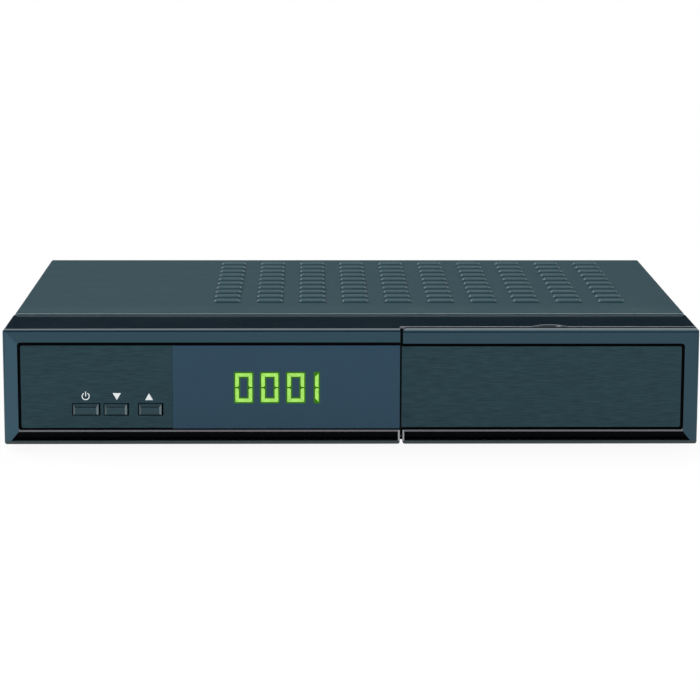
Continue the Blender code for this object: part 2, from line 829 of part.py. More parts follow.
def display():
    back_y = board_front_y - seat_gap
    housing = block("display_housing", display_xs, (display_y, back_y), display_zs, black_plastic)
    well_y = display_y + display_mask_thickness
    cut(housing, block("display_well", (display_xs[0] + display_wall, display_xs[1] - display_wall),
                       (well_y, back_y + cut_overrun),
                       (display_zs[0] + display_wall, display_zs[1] - display_wall)))
    for place in range(digit_count - 1):
        left = first_digit_x + place * digit_pitch
        cut(housing, half_digit("zero_top", left, 1), half_digit("zero_bottom", left, -1))
    for side in (-1, 1):
        bar_zs = sorted((digit_z + side * digit_split / 2, digit_z + side * digit_height / 2))
        cut(housing, block("one_bar", (last_digit_x, last_digit_x + digit_stroke),
                           (display_y - cut_overrun, display_y + display_wall), bar_zs))
    rim = display_wall + seat_gap
    panel_y = well_y + seat_gap
    panel = block("display_light_panel", (display_xs[0] + rim, display_xs[1] - rim),
                  (panel_y, panel_y + light_panel_thickness), (display_zs[0] + rim, display_zs[1] - rim),
                  green_light)
    leg_half = (display_wall + seat_gap) / 2
    for leg_x in (display_xs[0] + rim + leg_half, display_xs[1] - rim - leg_half):
        weld(panel, block("panel_leg", (leg_x - leg_half, leg_x + leg_half),
                          (panel_y + light_panel_thickness / 2, back_y),
                          centred(digit_z, display_wall)))
    receiver = block("infrared_receiver", centred(receiver_x, receiver_width),
                     (back_y - receiver_depth, back_y), centred(digit_z, receiver_height), chip_black)
    receiver_y = back_y - receiver_depth
    weld(receiver, rod("receiver_lens", "Y", (receiver_x, digit_z), receiver_y - receiver_lens_radius,
                       receiver_y + receiver_depth / 2, receiver_lens_radius, sides=small_sides))


def front_board():
    block("front_board", (front_board_left, front_board_right), (board_front_y, board_back_y),
          (front_board_bottom, front_board_top), green_board)


def louvre_columns():
    first = louvre_left_margin - cover_half + louvre_width / 2
    last = cover_half - louvre_right_margin - louvre_width / 2
    return [first + place * louvre_pitch_x for place in range(round((last - first) / louvre_pitch_x) + 1)]


def louvre_rows():
    room = rear_y - cover_front - louvre_front_margin - louvre_length - louvre_rear_margin
    count = int(room / louvre_pitch_y) + 1
    return [cover_front + louvre_front_margin + place * louvre_pitch_y for place in range(count)]


def top_cover():
    side_bottom = base_z + cover_bottom_rise
    bend = cover_bend_radius
    outline = [(-cover_half, side_bottom), (-cover_half, cover_top - bend), (-cover_half + bend, cover_top),
               (cover_half - bend, cover_top), (cover_half, cover_top - bend), (cover_half, side_bottom),
               (cover_half - sheet, side_bottom), (cover_half - sheet, cover_top - bend),
               (cover_half - bend, cover_under), (-cover_half + bend, cover_under),
               (-cover_half + sheet, cover_top - bend), (-cover_half + sheet, side_bottom)]
    cover = prism("top_cover", outline, "Y", cover_front, rear_y, painted_steel)
    slope = louvre_rise / louvre_length
    bumps = bmesh.new()
    pockets = bmesh.new()
    root = cover_top - sheet / 2
    for middle in louvre_columns():
        for start in louvre_rows():
            end = start + louvre_length
            left, right = centred(middle, louvre_width)
            sink = (cover_top - root) / slope
            corners = [(left, start - sink, root), (right, start - sink, root), (right, end, root),
                       (left, end, root), (left + louvre_end_slope, end, cover_top + louvre_rise),
                       (right - louvre_end_slope, end, cover_top + louvre_rise)]
            made = [bumps.verts.new(corner) for corner in corners]
            for ring in ((0, 1, 2, 3), (0, 1, 5, 4), (0, 3, 4), (1, 2, 5), (3, 2, 5, 4)):
                bumps.faces.new([made[index] for index in ring])
            beyond = end + louvre_length / 4
            pocket_top = cover_under + louvre_rise
            inset = louvre_end_slope + louvre_wall
            outline = [(start - cut_overrun / slope, cover_under - cut_overrun),
                       (beyond, pocket_top + (beyond - end) * slope),
                       (beyond, cover_top + louvre_sill),
                       (end - seat_gap, cover_top + louvre_sill),
                       (end - seat_gap, cover_under - cut_overrun)]
            add_prism(pockets, outline, "X", left + inset, right - inset)
    weld(cover, add_object("louvre_bumps", bumps, None))
    cut(cover, add_object("louvre_pockets", pockets, None))
    cut(cover, side_holes("cover_holes", cover_half - sheet - seat_gap / 2, cover_half + cut_overrun))


def side_holes(name, inner_x, outer_x):
    holes = []
    for side in (-1, 1):
        low, high = sorted((side * inner_x, side * outer_x))
        for hole_y in cover_screw_places():
            holes.append(((hole_y, base_z + cover_screw_rise), low, high, screw_hole_radius))
    return rods(name, "X", holes)


def cover_screw_places():
    return front_y + front_cover_screw_depth, rear_y - rear_cover_screw_inset


def board_holes(xs, ys):
    return [(x, y) for x in (xs[0] + board_hole_inset, xs[1] - board_hole_inset)
            for y in (ys[0] + board_hole_inset, ys[1] - board_hole_inset)]


def board_drill(name, xs, ys):
    ends = (board_bottom - cut_overrun, board_top + cut_overrun)
    return rods(name, "Z", [(place, *ends, screw_hole_radius) for place in board_holes(xs, ys)])


power_board_xs = (power_board_left, power_board_right)
power_board_ys = (power_board_front, power_board_rear)
main_board_xs = (main_board_left, main_board_right)
main_board_ys = (main_board_front, main_board_rear - panel_flange_depth)
foot_places = {
    "foot_front_left": (-half_width + foot_inset_x, front_y + front_foot_depth),
    "foot_front_right": (half_width - foot_inset_x, front_y + front_foot_depth),
    "foot_rear_left": (-half_width + foot_inset_x, rear_y - rear_foot_inset),
    "foot_rear_right": (half_width - foot_inset_x, rear_y - rear_foot_inset),
}


def chassis_base():
    wide_front = front_y + deck_depth + tongue_length + seat_gap
    rear_end = panel_inner_y - seat_gap
    narrow = hollow_half - seat_gap
    outline = [(-narrow, front_y + tray_front_depth), (narrow, front_y + tray_front_depth),
               (narrow, wide_front), (inner_half, wide_front), (inner_half, rear_end),
               (-inner_half, rear_end), (-inner_half, wide_front), (-narrow, wide_front)]
    base = prism("chassis_base", outline, "Z", tray_bottom, tray_top, plated_steel)
    flanges = [block("side_flange", sorted((side * flange_inner, side * inner_half)), (wide_front, rear_end),
                     (tray_bottom, tray_bottom + flange_height)) for side in (-1, 1)]
    standoff_top = tray_top + standoff_height
    standoffs = board_holes(power_board_xs, power_board_ys) + board_holes(main_board_xs, main_board_ys)
    posts = rods("standoffs", "Z", [(place, tray_bottom + sheet / 2, standoff_top, standoff_radius)
                                    for place in standoffs])
    weld(base, gathered("flanges_and_standoffs", posts, *flanges))
    floor_holes = [(place, tray_top + sheet, standoff_top + cut_overrun, screw_hole_radius)
                   for place in standoffs]
    floor_ends = (tray_bottom - cut_overrun, tray_top + cut_overrun)
    floor_holes += [(place, *floor_ends, foot_spigot_radius + seat_gap) for place in foot_places.values()]
    floor_holes += [(place, *floor_ends, screw_hole_radius) for place in rear_screw_places()]
    cut(base, gathered("base_holes", rods("floor_holes", "Z", floor_holes),
                       side_holes("flange_holes", flange_inner - cut_overrun, inner_half + cut_overrun)))


def rear_screw_places():
    flange_y = panel_inner_y - panel_flange_depth / 2
    screw_x = rear_screw_share * half_width
    return (-screw_x, flange_y), (screw_x, flange_y)


tuner_width = tuner_width_share * main_board_width
hdmi_width = hdmi_width_share * main_board_width
spdif_width = spdif_width_share * main_board_width
jack_block_width = jack_block_width_share * main_board_width
scart_width = scart_width_share * main_board_width
tuner_x = main_board_left + tuner_centre_share * main_board_width
hdmi_x = main_board_left + hdmi_centre_share * main_board_width
usb_x = main_board_left + usb_centre_share * main_board_width
spdif_x = main_board_left + spdif_centre_share * main_board_width
jack_x = main_board_left + jack_centre_share * main_board_width
scart_x = main_board_left + scart_centre_share * main_board_width
lnb_reach = lnb_spacing_share * tuner_width / 2
lnb_xs = {"lnb_in_connector": tuner_x - lnb_reach, "lnb_out_connector": tuner_x + lnb_reach}
lnb_z = part_seat + tuner_height / 2
scart_lows = {"scart_tv_socket": part_seat, "scart_vcr_socket": part_seat + scart_height + seat_gap}
jack_zs = (part_seat + jack_low_rise, part_seat + jack_low_rise + jack_spacing)
inlet_x = -half_width + inlet_inset + inlet_width / 2
rocker_x = -half_width + rocker_inset + rocker_length / 2
rocker_z = base_z + rocker_rise
rocker_cavity_half = rocker_length / 2 + rocker_end_clearance
rocker_body_half_x = rocker_cavity_half + rocker_housing_wall
rocker_body_half_z = rocker_width / 2 + seat_gap + rocker_housing_wall
rocker_y = rear_y + seat_gap + rocker_flange_thickness - rocker_middle_rise


def rear_panel():
    panel = prism("rear_panel", under_cover_outline(tray_bottom), "Y", panel_inner_y, rear_y, black_steel)
    flange_z = tray_top + seat_gap
    flange = block("bottom_flange", (-flange_inner + seat_gap, flange_inner - seat_gap),
                   (panel_inner_y - panel_flange_depth, rear_y - panel_sheet / 2),
                   (flange_z, flange_z + sheet))
    weld(panel, flange)
    through = (panel_inner_y - seat_gap / 2, rear_y + cut_overrun)
    room = panel_clearance

    def window(name, middle, width, low, high):
        cut(panel, block(name, (middle - width / 2 - room, middle + width / 2 + room), through,
                         (low - room, high + room)))

    cut(panel, rods("lnb_holes", "Y", [((middle, lnb_z), *through, lnb_radius + room)
                                       for middle in lnb_xs.values()], sides=round_sides))
    window("hdmi_hole", hdmi_x, hdmi_width, part_seat, part_seat + hdmi_height)
    window("usb_hole", usb_x, usb_width, part_seat, part_seat + usb_height)
    window("spdif_hole", spdif_x, spdif_width, part_seat, part_seat + spdif_height)
    cut(panel, rods("jack_holes", "Y", [((jack_x, jack_z), *through, jack_radius + room)
                                        for jack_z in jack_zs]))
    window("scart_hole", scart_x, scart_width, part_seat, part_seat + 2 * scart_height + seat_gap)
    window("inlet_hole", inlet_x, inlet_width, part_seat, part_seat + inlet_height)
    window("rocker_hole", rocker_x, 2 * rocker_body_half_x, rocker_z - rocker_body_half_z,
           rocker_z + rocker_body_half_z)
    cut(panel, rods("flange_screw_holes", "Z", [(place, flange_z - seat_gap / 2, flange_z + sheet + seat_gap,
                                                 screw_hole_radius) for place in rear_screw_places()]))


def main_board():
    board = block("main_board", main_board_xs, (main_board_front, main_board_rear),
                  (board_bottom, board_top), green_board)
    cut(board, board_drill("main_holes", main_board_xs, main_board_ys))


def aerial_sockets():
    can_rear = main_board_rear - seat_gap
    block("tuner_can", centred(tuner_x, tuner_width), (can_rear - tuner_depth, can_rear),
          (part_seat, part_seat + tuner_height), bright_steel)
    collar_front = can_rear + seat_gap
    collar_back = panel_inner_y - seat_gap
    tip = rear_y + connector_stickout
    for name, middle in lnb_xs.items():
        turned(name, "Y", (middle, lnb_z),
               [(collar_front, 0), (collar_front, lnb_collar_radius), (collar_back, lnb_collar_radius),
                (collar_back, lnb_radius), (tip, lnb_radius), (tip, lnb_hole_radius),
                (tip - lnb_hole_depth, lnb_hole_radius), (tip - lnb_hole_depth, 0)], bright_steel)


def signal_sockets():
    cage_socket("hdmi_socket", hdmi_x, rear_y, -1, hdmi_width, hdmi_height, hdmi_depth, part_seat,
                plated_steel)
    cage_socket("rear_usb_socket", usb_x, rear_y, -1, usb_width, usb_height, usb_depth, part_seat,
                plated_steel)
    spdif = block("spdif_socket", centred(spdif_x, spdif_width), (rear_y - spdif_depth, rear_y),
                  (part_seat, part_seat + spdif_height), black_plastic)
    cut(spdif, block("spdif_port", centred(spdif_x, spdif_port),
                     (rear_y - spdif_port_depth, rear_y + cut_overrun),
                     centred(part_seat + spdif_height / 2, spdif_port)))
    jack_front = panel_inner_y - seat_gap
    jacks = block("audio_jack_block", centred(jack_x, jack_block_width),
                  (jack_front - jack_block_depth, jack_front), (part_seat, part_seat + jack_block_height),
                  black_plastic)
    weld(jacks, rods("jack_barrels", "Y", [((jack_x, jack_z), jack_front - jack_block_depth / 2,
                                            rear_y + jack_length, jack_radius) for jack_z in jack_zs]))
    cut(jacks, rods("jack_bores", "Y", [((jack_x, jack_z), rear_y, rear_y + jack_length + cut_overrun,
                                         jack_hole_radius) for jack_z in jack_zs]))


def scart_outline(width, height, middle_z):
    # One upper corner is slanted, so a plug goes in only one way up.
    left, right = centred(scart_x, width)
    low, high = centred(middle_z, height)
    return [(left, low), (right, low), (right, high - scart_slant), (right - scart_slant, high), (left, high)]


def scart_sockets():
    for name, low in scart_lows.items():
        middle_z = low + scart_height / 2
        front = rear_y - scart_depth
        shell = prism(name, rectangle(centred(scart_x, scart_width), (low, low + scart_height)), "Y", front,
                      rear_y, black_plastic)
        moat = scart_outline(scart_width - 2 * scart_rim, scart_height - 2 * scart_rim, middle_z)
        cut(shell, prism(name + "_moat", moat, "Y", rear_y - scart_recess, rear_y + cut_overrun))
        weld(shell, block(name + "_core", centred(scart_x, scart_core_width_share * scart_width),
                          (rear_y - scart_recess - scart_rim, rear_y - scart_rim),
                          centred(middle_z, scart_core_height)))


def processor_and_heatsink():
    middle_x = main_board_left + processor_centre_share * main_board_width
    middle_y = main_board_front + processor_inset
    chip_top = part_seat + processor_height
    block("processor", centred(middle_x, processor_side), centred(middle_y, processor_side),
          (part_seat, chip_top), chip_black)
    sink_bottom = chip_top + seat_gap
    fin_foot = sink_bottom + heatsink_base
    fin_top = fin_foot + heatsink_fin_height
    left, right = centred(middle_x, heatsink_side)
    step = (heatsink_side - heatsink_fin) / (heatsink_fin_count - 1)
    outline = [(right, sink_bottom), (left, sink_bottom)]
    for place in range(heatsink_fin_count):
        fin_left = left + place * step
        fin_right = fin_left + heatsink_fin
        outline += [(fin_left, fin_foot), (fin_left, fin_top), (fin_right, fin_top), (fin_right, fin_foot)]
    if math.isclose(outline[2][0], left):
        outline.pop(2)
        outline.pop()
    prism("processor_heatsink", outline, "Y", *centred(middle_y, heatsink_side), grey_aluminium)


def power_supply():
    board = block("power_board", power_board_xs, power_board_ys, (board_bottom, board_top), green_board)
    cut(board, board_drill("power_holes", power_board_xs, power_board_ys))
    board_x = (power_board_left + power_board_right) / 2
    transformer_y = power_board_front + power_board_depth / 2
    middle_z = part_seat + transformer_height / 2
    transformer = block("transformer", centred(board_x, transformer_width),
                        centred(transformer_y, transformer_core), (part_seat, part_seat + transformer_height),
                        coil_yellow)
    weld(transformer, block("bobbin", centred(board_x, transformer_width - transformer_core),
                            centred(transformer_y, transformer_depth),
                            centred(middle_z, transformer_height - transformer_core)))
    capacitor_y = transformer_y + transformer_depth / 2 + 2 * capacitor_radius
    rod("mains_capacitor", "Z", (board_x, capacitor_y), part_seat, part_seat + capacitor_height,
        capacitor_radius, chip_black)
    sink_y = transformer_y - transformer_depth / 2 - power_heatsink_foot * 2
    low = part_seat
    high = low + power_heatsink_height
    outline = [(sink_y, low), (sink_y + power_heatsink_foot, low),
               (sink_y + power_heatsink_foot, low + power_heatsink_sheet),
               (sink_y + power_heatsink_sheet, low + power_heatsink_sheet),
               (sink_y + power_heatsink_sheet, high), (sink_y, high)]
    prism("power_heatsink", outline, "X", *centred(board_x, power_heatsink_width), grey_aluminium)


def stadium(middle_x, middle_z, width, height):
    points = []
    half = (width - height) / 2
    steps = small_sides // 2
    for side in (1, -1):
        for step in range(steps + 1):
            angle = side * (math.pi * step / steps - math.pi / 2)
            points.append((middle_x + side * half + side * math.cos(angle) * height / 2,
                           middle_z + math.sin(angle) * height / 2))
    return points


def mains_inlet():
    xs = centred(inlet_x, inlet_width)
    middle_z = part_seat + inlet_height / 2
    inlet = block("mains_inlet", xs, (rear_y - inlet_depth, rear_y), (part_seat, part_seat + inlet_height),
                  black_plastic)
    floor_y = rear_y - inlet_recess_depth
    mouth = stadium(inlet_x, middle_z, inlet_recess_width, inlet_recess_height)
    cut(inlet, prism("inlet_recess", mouth, "Y", floor_y, rear_y + cut_overrun))
    weld(inlet, rods("inlet_pins", "Y", [((inlet_x + side * inlet_pin_spacing / 2, middle_z),
                                          floor_y - inlet_pin_radius, floor_y + inlet_pin_length,
                                          inlet_pin_radius) for side in (-1, 1)]))


def rocker_switch():
    flange_y = rear_y + seat_gap
    outer_y = flange_y + rocker_flange_thickness
    body_xs = centred(rocker_x, 2 * rocker_body_half_x)
    body_zs = centred(rocker_z, 2 * rocker_body_half_z)
    margin = rocker_flange_margin
    inner_y = rear_y - rocker_housing_depth
    sections = [(inner_y, *body_xs, *body_zs), (flange_y, *body_xs, *body_zs)]
    for along in (flange_y, outer_y):
        sections.append((along, body_xs[0] - margin, body_xs[1] + margin, body_zs[0] - margin,
                         body_zs[1] + margin))
    housing = stepped("rocker_housing", "Y", sections, black_plastic)
    half_z = rocker_width / 2
    trunnion_ends = centred(rocker_z, rocker_width + 2 * (seat_gap + rocker_trunnion_length))
    cut(housing,
        block("rocker_cavity", centred(rocker_x, 2 * rocker_cavity_half),
              (rocker_y - rocker_cavity_depth, outer_y + cut_overrun),
              centred(rocker_z, rocker_width + 2 * seat_gap)),
        rod("trunnion_holes", "Z", (rocker_x, rocker_y), *trunnion_ends, rocker_trunnion_radius + seat_gap,
            sides=small_sides))
    half = rocker_length / 2
    plain = [(-half, rocker_end_rise), (0, rocker_middle_rise), (half, rocker_end_rise),
             (half, -rocker_side_drop), (rocker_base_half, -rocker_base_drop),
             (-rocker_base_half, -rocker_base_drop), (-half, -rocker_side_drop)]
    rocker = prism("power_rocker", plain, "Z", -half_z, half_z, black_plastic)
    trunnions = rod("trunnions", "Z", (0, 0), *centred(0, rocker_width + 2 * rocker_trunnion_length),
                    rocker_trunnion_radius, sides=small_sides)
    weld(rocker, trunnions)
    pivot = joint_empty("rocker_pivot", (rocker_x, rocker_y, rocker_z))
    pivot.rotation_euler = (0, 0, rocker_tilt)
    rocker.parent = pivot
    trunnions.parent = pivot


def feet():
    foot_top = tray_bottom - seat_gap
    for name, place in foot_places.items():
        spigot_top = tray_top + foot_chamfer
        turned(name, "Z", place,
               [(0, 0), (0, foot_radius - foot_chamfer), (foot_chamfer, foot_radius),
                (foot_top, foot_radius), (foot_top, foot_spigot_radius), (spigot_top, foot_spigot_radius),
                (spigot_top, 0)], dark_rubber)


def screws():
    front_place, rear_place = cover_screw_places()
    for side, side_name in ((-1, "left"), (1, "right")):
        for end_name, place_y in (("front", front_place), ("rear", rear_place)):
            screw("cover_screw_" + end_name + "_" + side_name, "X", (place_y, base_z + cover_screw_rise),
                  side * cover_half, -side, cover_screw_length, cover_screw_head, bright_steel)
    sizes = (board_screw_reach, screw_head_height, bright_steel)
    for place, side_name in zip(rear_screw_places(), ("left", "right")):
        screw("rear_panel_screw_" + side_name, "Z", place, tray_bottom, 1, *sizes)
    for board, holes in (("main_board", board_holes(main_board_xs, main_board_ys)),
                         ("power_board", board_holes(power_board_xs, power_board_ys))):
        for place, end_name in ((holes[0], "front"), (holes[-1], "rear")):
            screw(board + "_screw_" + end_name, "Z", place, board_top, -1, *sizes)


def front_ribbon_cable():
    # A flat cable that leaves a plug on the front board, goes back and down to one on the main board.
    start_y = board_back_y + seat_gap
    end_y = main_board_front + ribbon_lead
    start_z = base_z + ribbon_start_rise
    low = part_seat
    half = ribbon_thickness / 2
    plug_half = ribbon_plug_height / 2
    plug_y = start_y + ribbon_plug_depth
    plug_top = low + ribbon_plug_height
    outline = [(start_y, start_z - plug_half), (plug_y, start_z - plug_half), (plug_y, start_z - half),
               (plug_y + ribbon_lead + ribbon_thickness, start_z - half),
               (end_y - ribbon_lead, plug_top + half), (end_y - half, plug_top + half),
               (end_y - half, plug_top), (end_y - plug_half, plug_top), (end_y - plug_half, low),
               (end_y + plug_half, low), (end_y + plug_half, plug_top), (end_y + half, plug_top),
               (end_y + half, plug_top + half + ribbon_thickness),
               (end_y - ribbon_lead, plug_top + half + ribbon_thickness),
               (plug_y + ribbon_lead + ribbon_thickness, start_z + half), (plug_y, start_z + half),
               (plug_y, start_z + plug_half), (start_y, start_z + plug_half)]
    prism("front_ribbon_cable", outline, "X", *centred(ribbon_x, ribbon_width), ribbon_grey)


def arched_path(start, end, arch):
    # Both ends stand square on what they meet and the middle arches over.
    path = []
    for step in range(lead_points):
        share = step / (lead_points - 1)
        eased = (1 - math.cos(math.pi * share)) / 2
        lift = math.sin(math.pi * share) * arch
        path.append(Vector(start).lerp(Vector(end), eased) + Vector((0, 0, lift)))
    return path


def wiring():
    harness_y = power_board_front + harness_depth_share * power_board_depth
    tube("power_harness", arched_path((power_board_right - harness_inset, harness_y, part_seat),
                                      (main_board_left + harness_inset, harness_y, part_seat), harness_arch),
         harness_radius, white_plastic)
    lead_start = (rocker_x, rear_y - rocker_housing_depth - seat_gap, rocker_z)
    path = []
    for step in range(lead_points):
        angle = math.pi / 2 * step / (lead_points - 1)
        path.append((rocker_x, lead_start[1] - lead_slack * math.sin(angle),
                     part_seat + (rocker_z - part_seat) * math.cos(angle)))
    tube("switch_wires", path, lead_radius, white_plastic)


front_bezel()
fixed_front_panels()
flap()
behind_the_flap()
push_keys()
display()
front_board()
top_cover()
chassis_base()
rear_panel()
main_board()
aerial_sockets()
signal_sockets()
scart_sockets()
processor_and_heatsink()
power_supply()
mains_inlet()
rocker_switch()
feet()
screws()
front_ribbon_cable()
wiring()
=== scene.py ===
import math

import bmesh
import bpy
from mathutils import Matrix, Vector


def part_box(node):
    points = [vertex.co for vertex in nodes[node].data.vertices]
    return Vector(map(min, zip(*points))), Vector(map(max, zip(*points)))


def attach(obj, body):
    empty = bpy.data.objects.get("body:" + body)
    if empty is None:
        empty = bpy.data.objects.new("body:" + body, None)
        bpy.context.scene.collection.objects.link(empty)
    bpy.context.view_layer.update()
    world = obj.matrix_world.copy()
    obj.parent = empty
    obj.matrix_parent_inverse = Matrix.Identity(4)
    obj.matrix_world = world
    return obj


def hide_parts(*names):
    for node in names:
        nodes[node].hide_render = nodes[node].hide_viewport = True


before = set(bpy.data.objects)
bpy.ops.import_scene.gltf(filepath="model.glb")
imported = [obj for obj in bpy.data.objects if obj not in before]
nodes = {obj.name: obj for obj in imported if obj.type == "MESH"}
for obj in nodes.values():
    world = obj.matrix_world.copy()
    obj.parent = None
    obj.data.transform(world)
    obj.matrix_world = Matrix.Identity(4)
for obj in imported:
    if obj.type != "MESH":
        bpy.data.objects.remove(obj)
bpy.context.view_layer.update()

# A satellite receiver in metres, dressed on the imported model. The front faces -Y.
print("frame loaded:", len(nodes), "nodes")

bezelLow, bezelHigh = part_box("front_bezel")
flapLow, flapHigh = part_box("flap_frame")
coverLow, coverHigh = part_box("top_cover")
frontY = bezelLow.y
baseZ = bezelLow.z
topZ = flapHigh.z
halfWidth = bezelHigh.x
rearY = coverHigh.y
gap = 0.0003  # round the keys and between the fixed front and the flap
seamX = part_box("inner_fascia")[0].x - gap
overrun = 0.002  # how far a cutting tool stands out of what it cuts
hair = 0.00001  # keeps two faces out of one plane

camera = {
    "place": (-0.01677, -1.13156, 0.22553),
    "pitch": 10.1055,
    "yaw": 0.895,
    "roll": 0.132,
    "focalPixels": 2609,
    "imagePixels": 700,
    "sensor": 36,
}

lighting = {
    "skySeen": (1.0, 1.0, 1.0),
    "skyLevel": 0.42,
    "aim": (0, 0, 0.03),
    "lamps": {
        "overheadStrip": {"place": (-0.3, 0.45, 1.45), "size": (2.2, 0.5), "power": 13.0, "glossy": True},
        "frontFill": {"place": (0.3, -1.9, 0.9), "size": (1.6, 0.8), "power": 15.0, "glossy": False},
        "leftKey": {"place": (-1.2, 0.35, 1.0), "size": (0.7, 0.7), "power": 9.0, "glossy": True},
        "rightKey": {"place": (1.3, 0.35, 1.0), "size": (0.6, 0.6), "power": 3.0, "glossy": True},
    },
    "curtainRadius": 2.5,
    "curtainLow": 0.17,
    "curtainRear": 0.95,
    "curtainFront": 4.2,
    "curtainSides": 64,
    "curtainColour": (0.016, 0.026, 0.032),
    "floorSize": 14,
    "floorDrop": 0.0002,
    "floorColour": (0.93, 0.93, 0.93),
    "floorGlow": (0.93, 1.0),
    "floorFade": (0.25, 1.2),
}


# Mesh helpers

def linked(made):
    bpy.context.scene.collection.objects.link(made)
    return made


def addObject(name, mesh, smooth=None):
    data = bpy.data.meshes.new(name)
    mesh.to_mesh(data)
    mesh.free()
    if smooth:
        data.shade_smooth()
        data.set_sharp_from_angle(angle=math.radians(smooth))
    return linked(bpy.data.objects.new(name, data))


def addSolid(name, mesh, smooth=None):
    bmesh.ops.recalc_face_normals(mesh, faces=mesh.faces[:])
    return addObject(name, mesh, smooth)


def meshOf(piece):
    mesh = bmesh.new()
    mesh.from_mesh(piece.data)
    return mesh


def putBack(mesh, piece):
    mesh.to_mesh(piece.data)
    mesh.free()


def bake(piece):
    graph = bpy.context.evaluated_depsgraph_get()
    data = bpy.data.meshes.new_from_object(piece.evaluated_get(graph))
    old = piece.data
    piece.modifiers.clear()
    piece.data = data
    bpy.data.meshes.remove(old)
    data.name = piece.name
    return piece


def bridge(mesh, first, second):
    # A band of faces between two closed rings of corners.
    for here in range(len(first)):
        after = (here + 1) % len(first)
        mesh.faces.new((first[here], first[after], second[after], second[here]))


def onAxis(axis, along, pair):
    # A point from its place along one axis and its other two coordinates.
    return {"X": (along, *pair), "Y": (pair[0], along, pair[1]), "Z": (*pair, along)}[axis]


def around(middle, half):
    return middle - half, middle + half


def arcPoints(centre, radius, angles):
    # Angles are in degrees.
    turns = [math.radians(angle) for angle in angles]
    return [(centre[0] + radius * math.cos(turn), centre[1] + radius * math.sin(turn)) for turn in turns]


def outlinePrism(name, outline, axis, low, high):
    # The outline is (x, z) pairs for axis Y, (x, y) for Z and (y, z) for X.
    mesh = bmesh.new()
    start, end = [[mesh.verts.new(onAxis(axis, along, pair)) for pair in outline] for along in (low, high)]
    mesh.faces.new(start)
    mesh.faces.new(end)
    bridge(mesh, start, end)
    return addSolid(name, mesh)


def box(name, xs, ys, zs):
    return outlinePrism(name, [(xs[0], ys[0]), (xs[1], ys[0]), (xs[1], ys[1]), (xs[0], ys[1])], "Z", *zs)


def opening(low, high, spare, ys):
    # A tool for a hole round a piece, a little wider than the piece itself.
    return box("hole", (low.x - spare, high.x + spare), ys, (low.z - spare, high.z + spare))


def roundedOutline(xs, zs, radii, steps=6):
    # Radii for the corners low-left, low-right, high-right and high-left.
    points = []
    corners = [(xs[0], zs[0], 180), (xs[1], zs[0], 270), (xs[1], zs[1], 0), (xs[0], zs[1], 90)]
    for (x, z, turn), radius in zip(corners, radii):
        if not radius:
            points.append((x, z))
            continue
        centre = (x + (radius if x == xs[0] else -radius), z + (radius if z == zs[0] else -radius))
        points += arcPoints(centre, radius, [turn + 90 * step / steps for step in range(steps + 1)])
    return points


def lathe(name, axis, centre, profile, sides=32, smooth=40, ring=False):
    # The profile is (place along the axis, radius) pairs, from pole to pole or round a ring's section.
    mesh = bmesh.new()
    rings = []
    for along, radius in profile:
        turns = [360 * side / sides for side in range(sides if radius else 1)]
        rings.append([mesh.verts.new(onAxis(axis, along, pair)) for pair in arcPoints(centre, radius, turns)])
    for low, high in zip(rings, rings[1:] + rings[:1] if ring else rings[1:]):
        for side in range(sides):
            after = (side + 1) % sides
            loop = [low[side % len(low)], low[after % len(low)],
                    high[after % len(high)], high[side % len(high)]]
            loop = [vert for index, vert in enumerate(loop) if vert not in loop[:index]]
            if len(loop) > 2:
                mesh.faces.new(loop)
    return addSolid(name, mesh, smooth)


def carve(target, operation, *tools):
    for tool in tools:
        step = target.modifiers.new(tool.name, "BOOLEAN")
        step.operation = operation
        step.solver = "EXACT"
        step.object = tool
    bake(target)
    for tool in tools:
        bpy.data.objects.remove(tool, do_unlink=True)
    return target


def joined(name, *parts):
    mesh = bmesh.new()
    for part in parts:
        mesh.from_mesh(part.data)
        bpy.data.objects.remove(part, do_unlink=True)
    return addObject(name, mesh)


def addBevel(piece, width, segments, angle):
    bevel = piece.modifiers.new("edges", "BEVEL")
    bevel.width = width
    bevel.segments = segments
    bevel.limit_method = "ANGLE"
    bevel.angle_limit = math.radians(angle)
    return bevel


def soften(piece, width, segments=2, angle=35):
    # Small bevels catch the light along each edge.
    mesh = meshOf(piece)
    bmesh.ops.remove_doubles(mesh, verts=mesh.verts[:], dist=1e-6)
    bmesh.ops.dissolve_limit(mesh, angle_limit=math.radians(1), verts=mesh.verts[:], edges=mesh.edges[:],
                             delimit={"MATERIAL"})
    bmesh.ops.recalc_face_normals(mesh, faces=mesh.faces[:])
    putBack(mesh, piece)
    piece.data.shade_smooth()
    addBevel(piece, width, segments, angle)
    shading = piece.modifiers.new("shading", "WEIGHTED_NORMAL")
    shading.mode = "FACE_AREA"
    shading.weight = 50
    shading.keep_sharp = True
    return bake(piece)


def finishPiece(piece, body, finish, *replaced):
    # The finish is one name from the finishes, or a list of names, one for each slot.
    piece.data.materials.clear()
    for name in finish if isinstance(finish, list) else [finish]:
        piece.data.materials.append(finishes[name])
    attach(piece, body)
    if replaced:
        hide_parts(*replaced)
    return piece


# Shader groups, each built once

def feed(tree, node, inputs):
    # An input gets a plain value, the socket that drives it, or a node whose first output does.
    for label, value in inputs.items():
        source = value.outputs[0] if isinstance(value, bpy.types.Node) else value
        if isinstance(source, bpy.types.NodeSocket):
            tree.links.new(source, node.inputs[label])
        else:
            node.inputs[label].default_value = value
    return node


def addNode(tree, kind, inputs=None, **settings):
    node = tree.nodes.new(kind)
    for setting, value in settings.items():
        setattr(node, setting, value)
    return feed(tree, node, inputs or {})


def maths(tree, operation, *values):
    return addNode(tree, "ShaderNodeMath", dict(enumerate(values)), operation=operation)


def vectors(tree, operation, first, second):
    slot = "Scale" if operation == "SCALE" else 1
    return addNode(tree, "ShaderNodeVectorMath", {0: first, slot: second}, operation=operation)


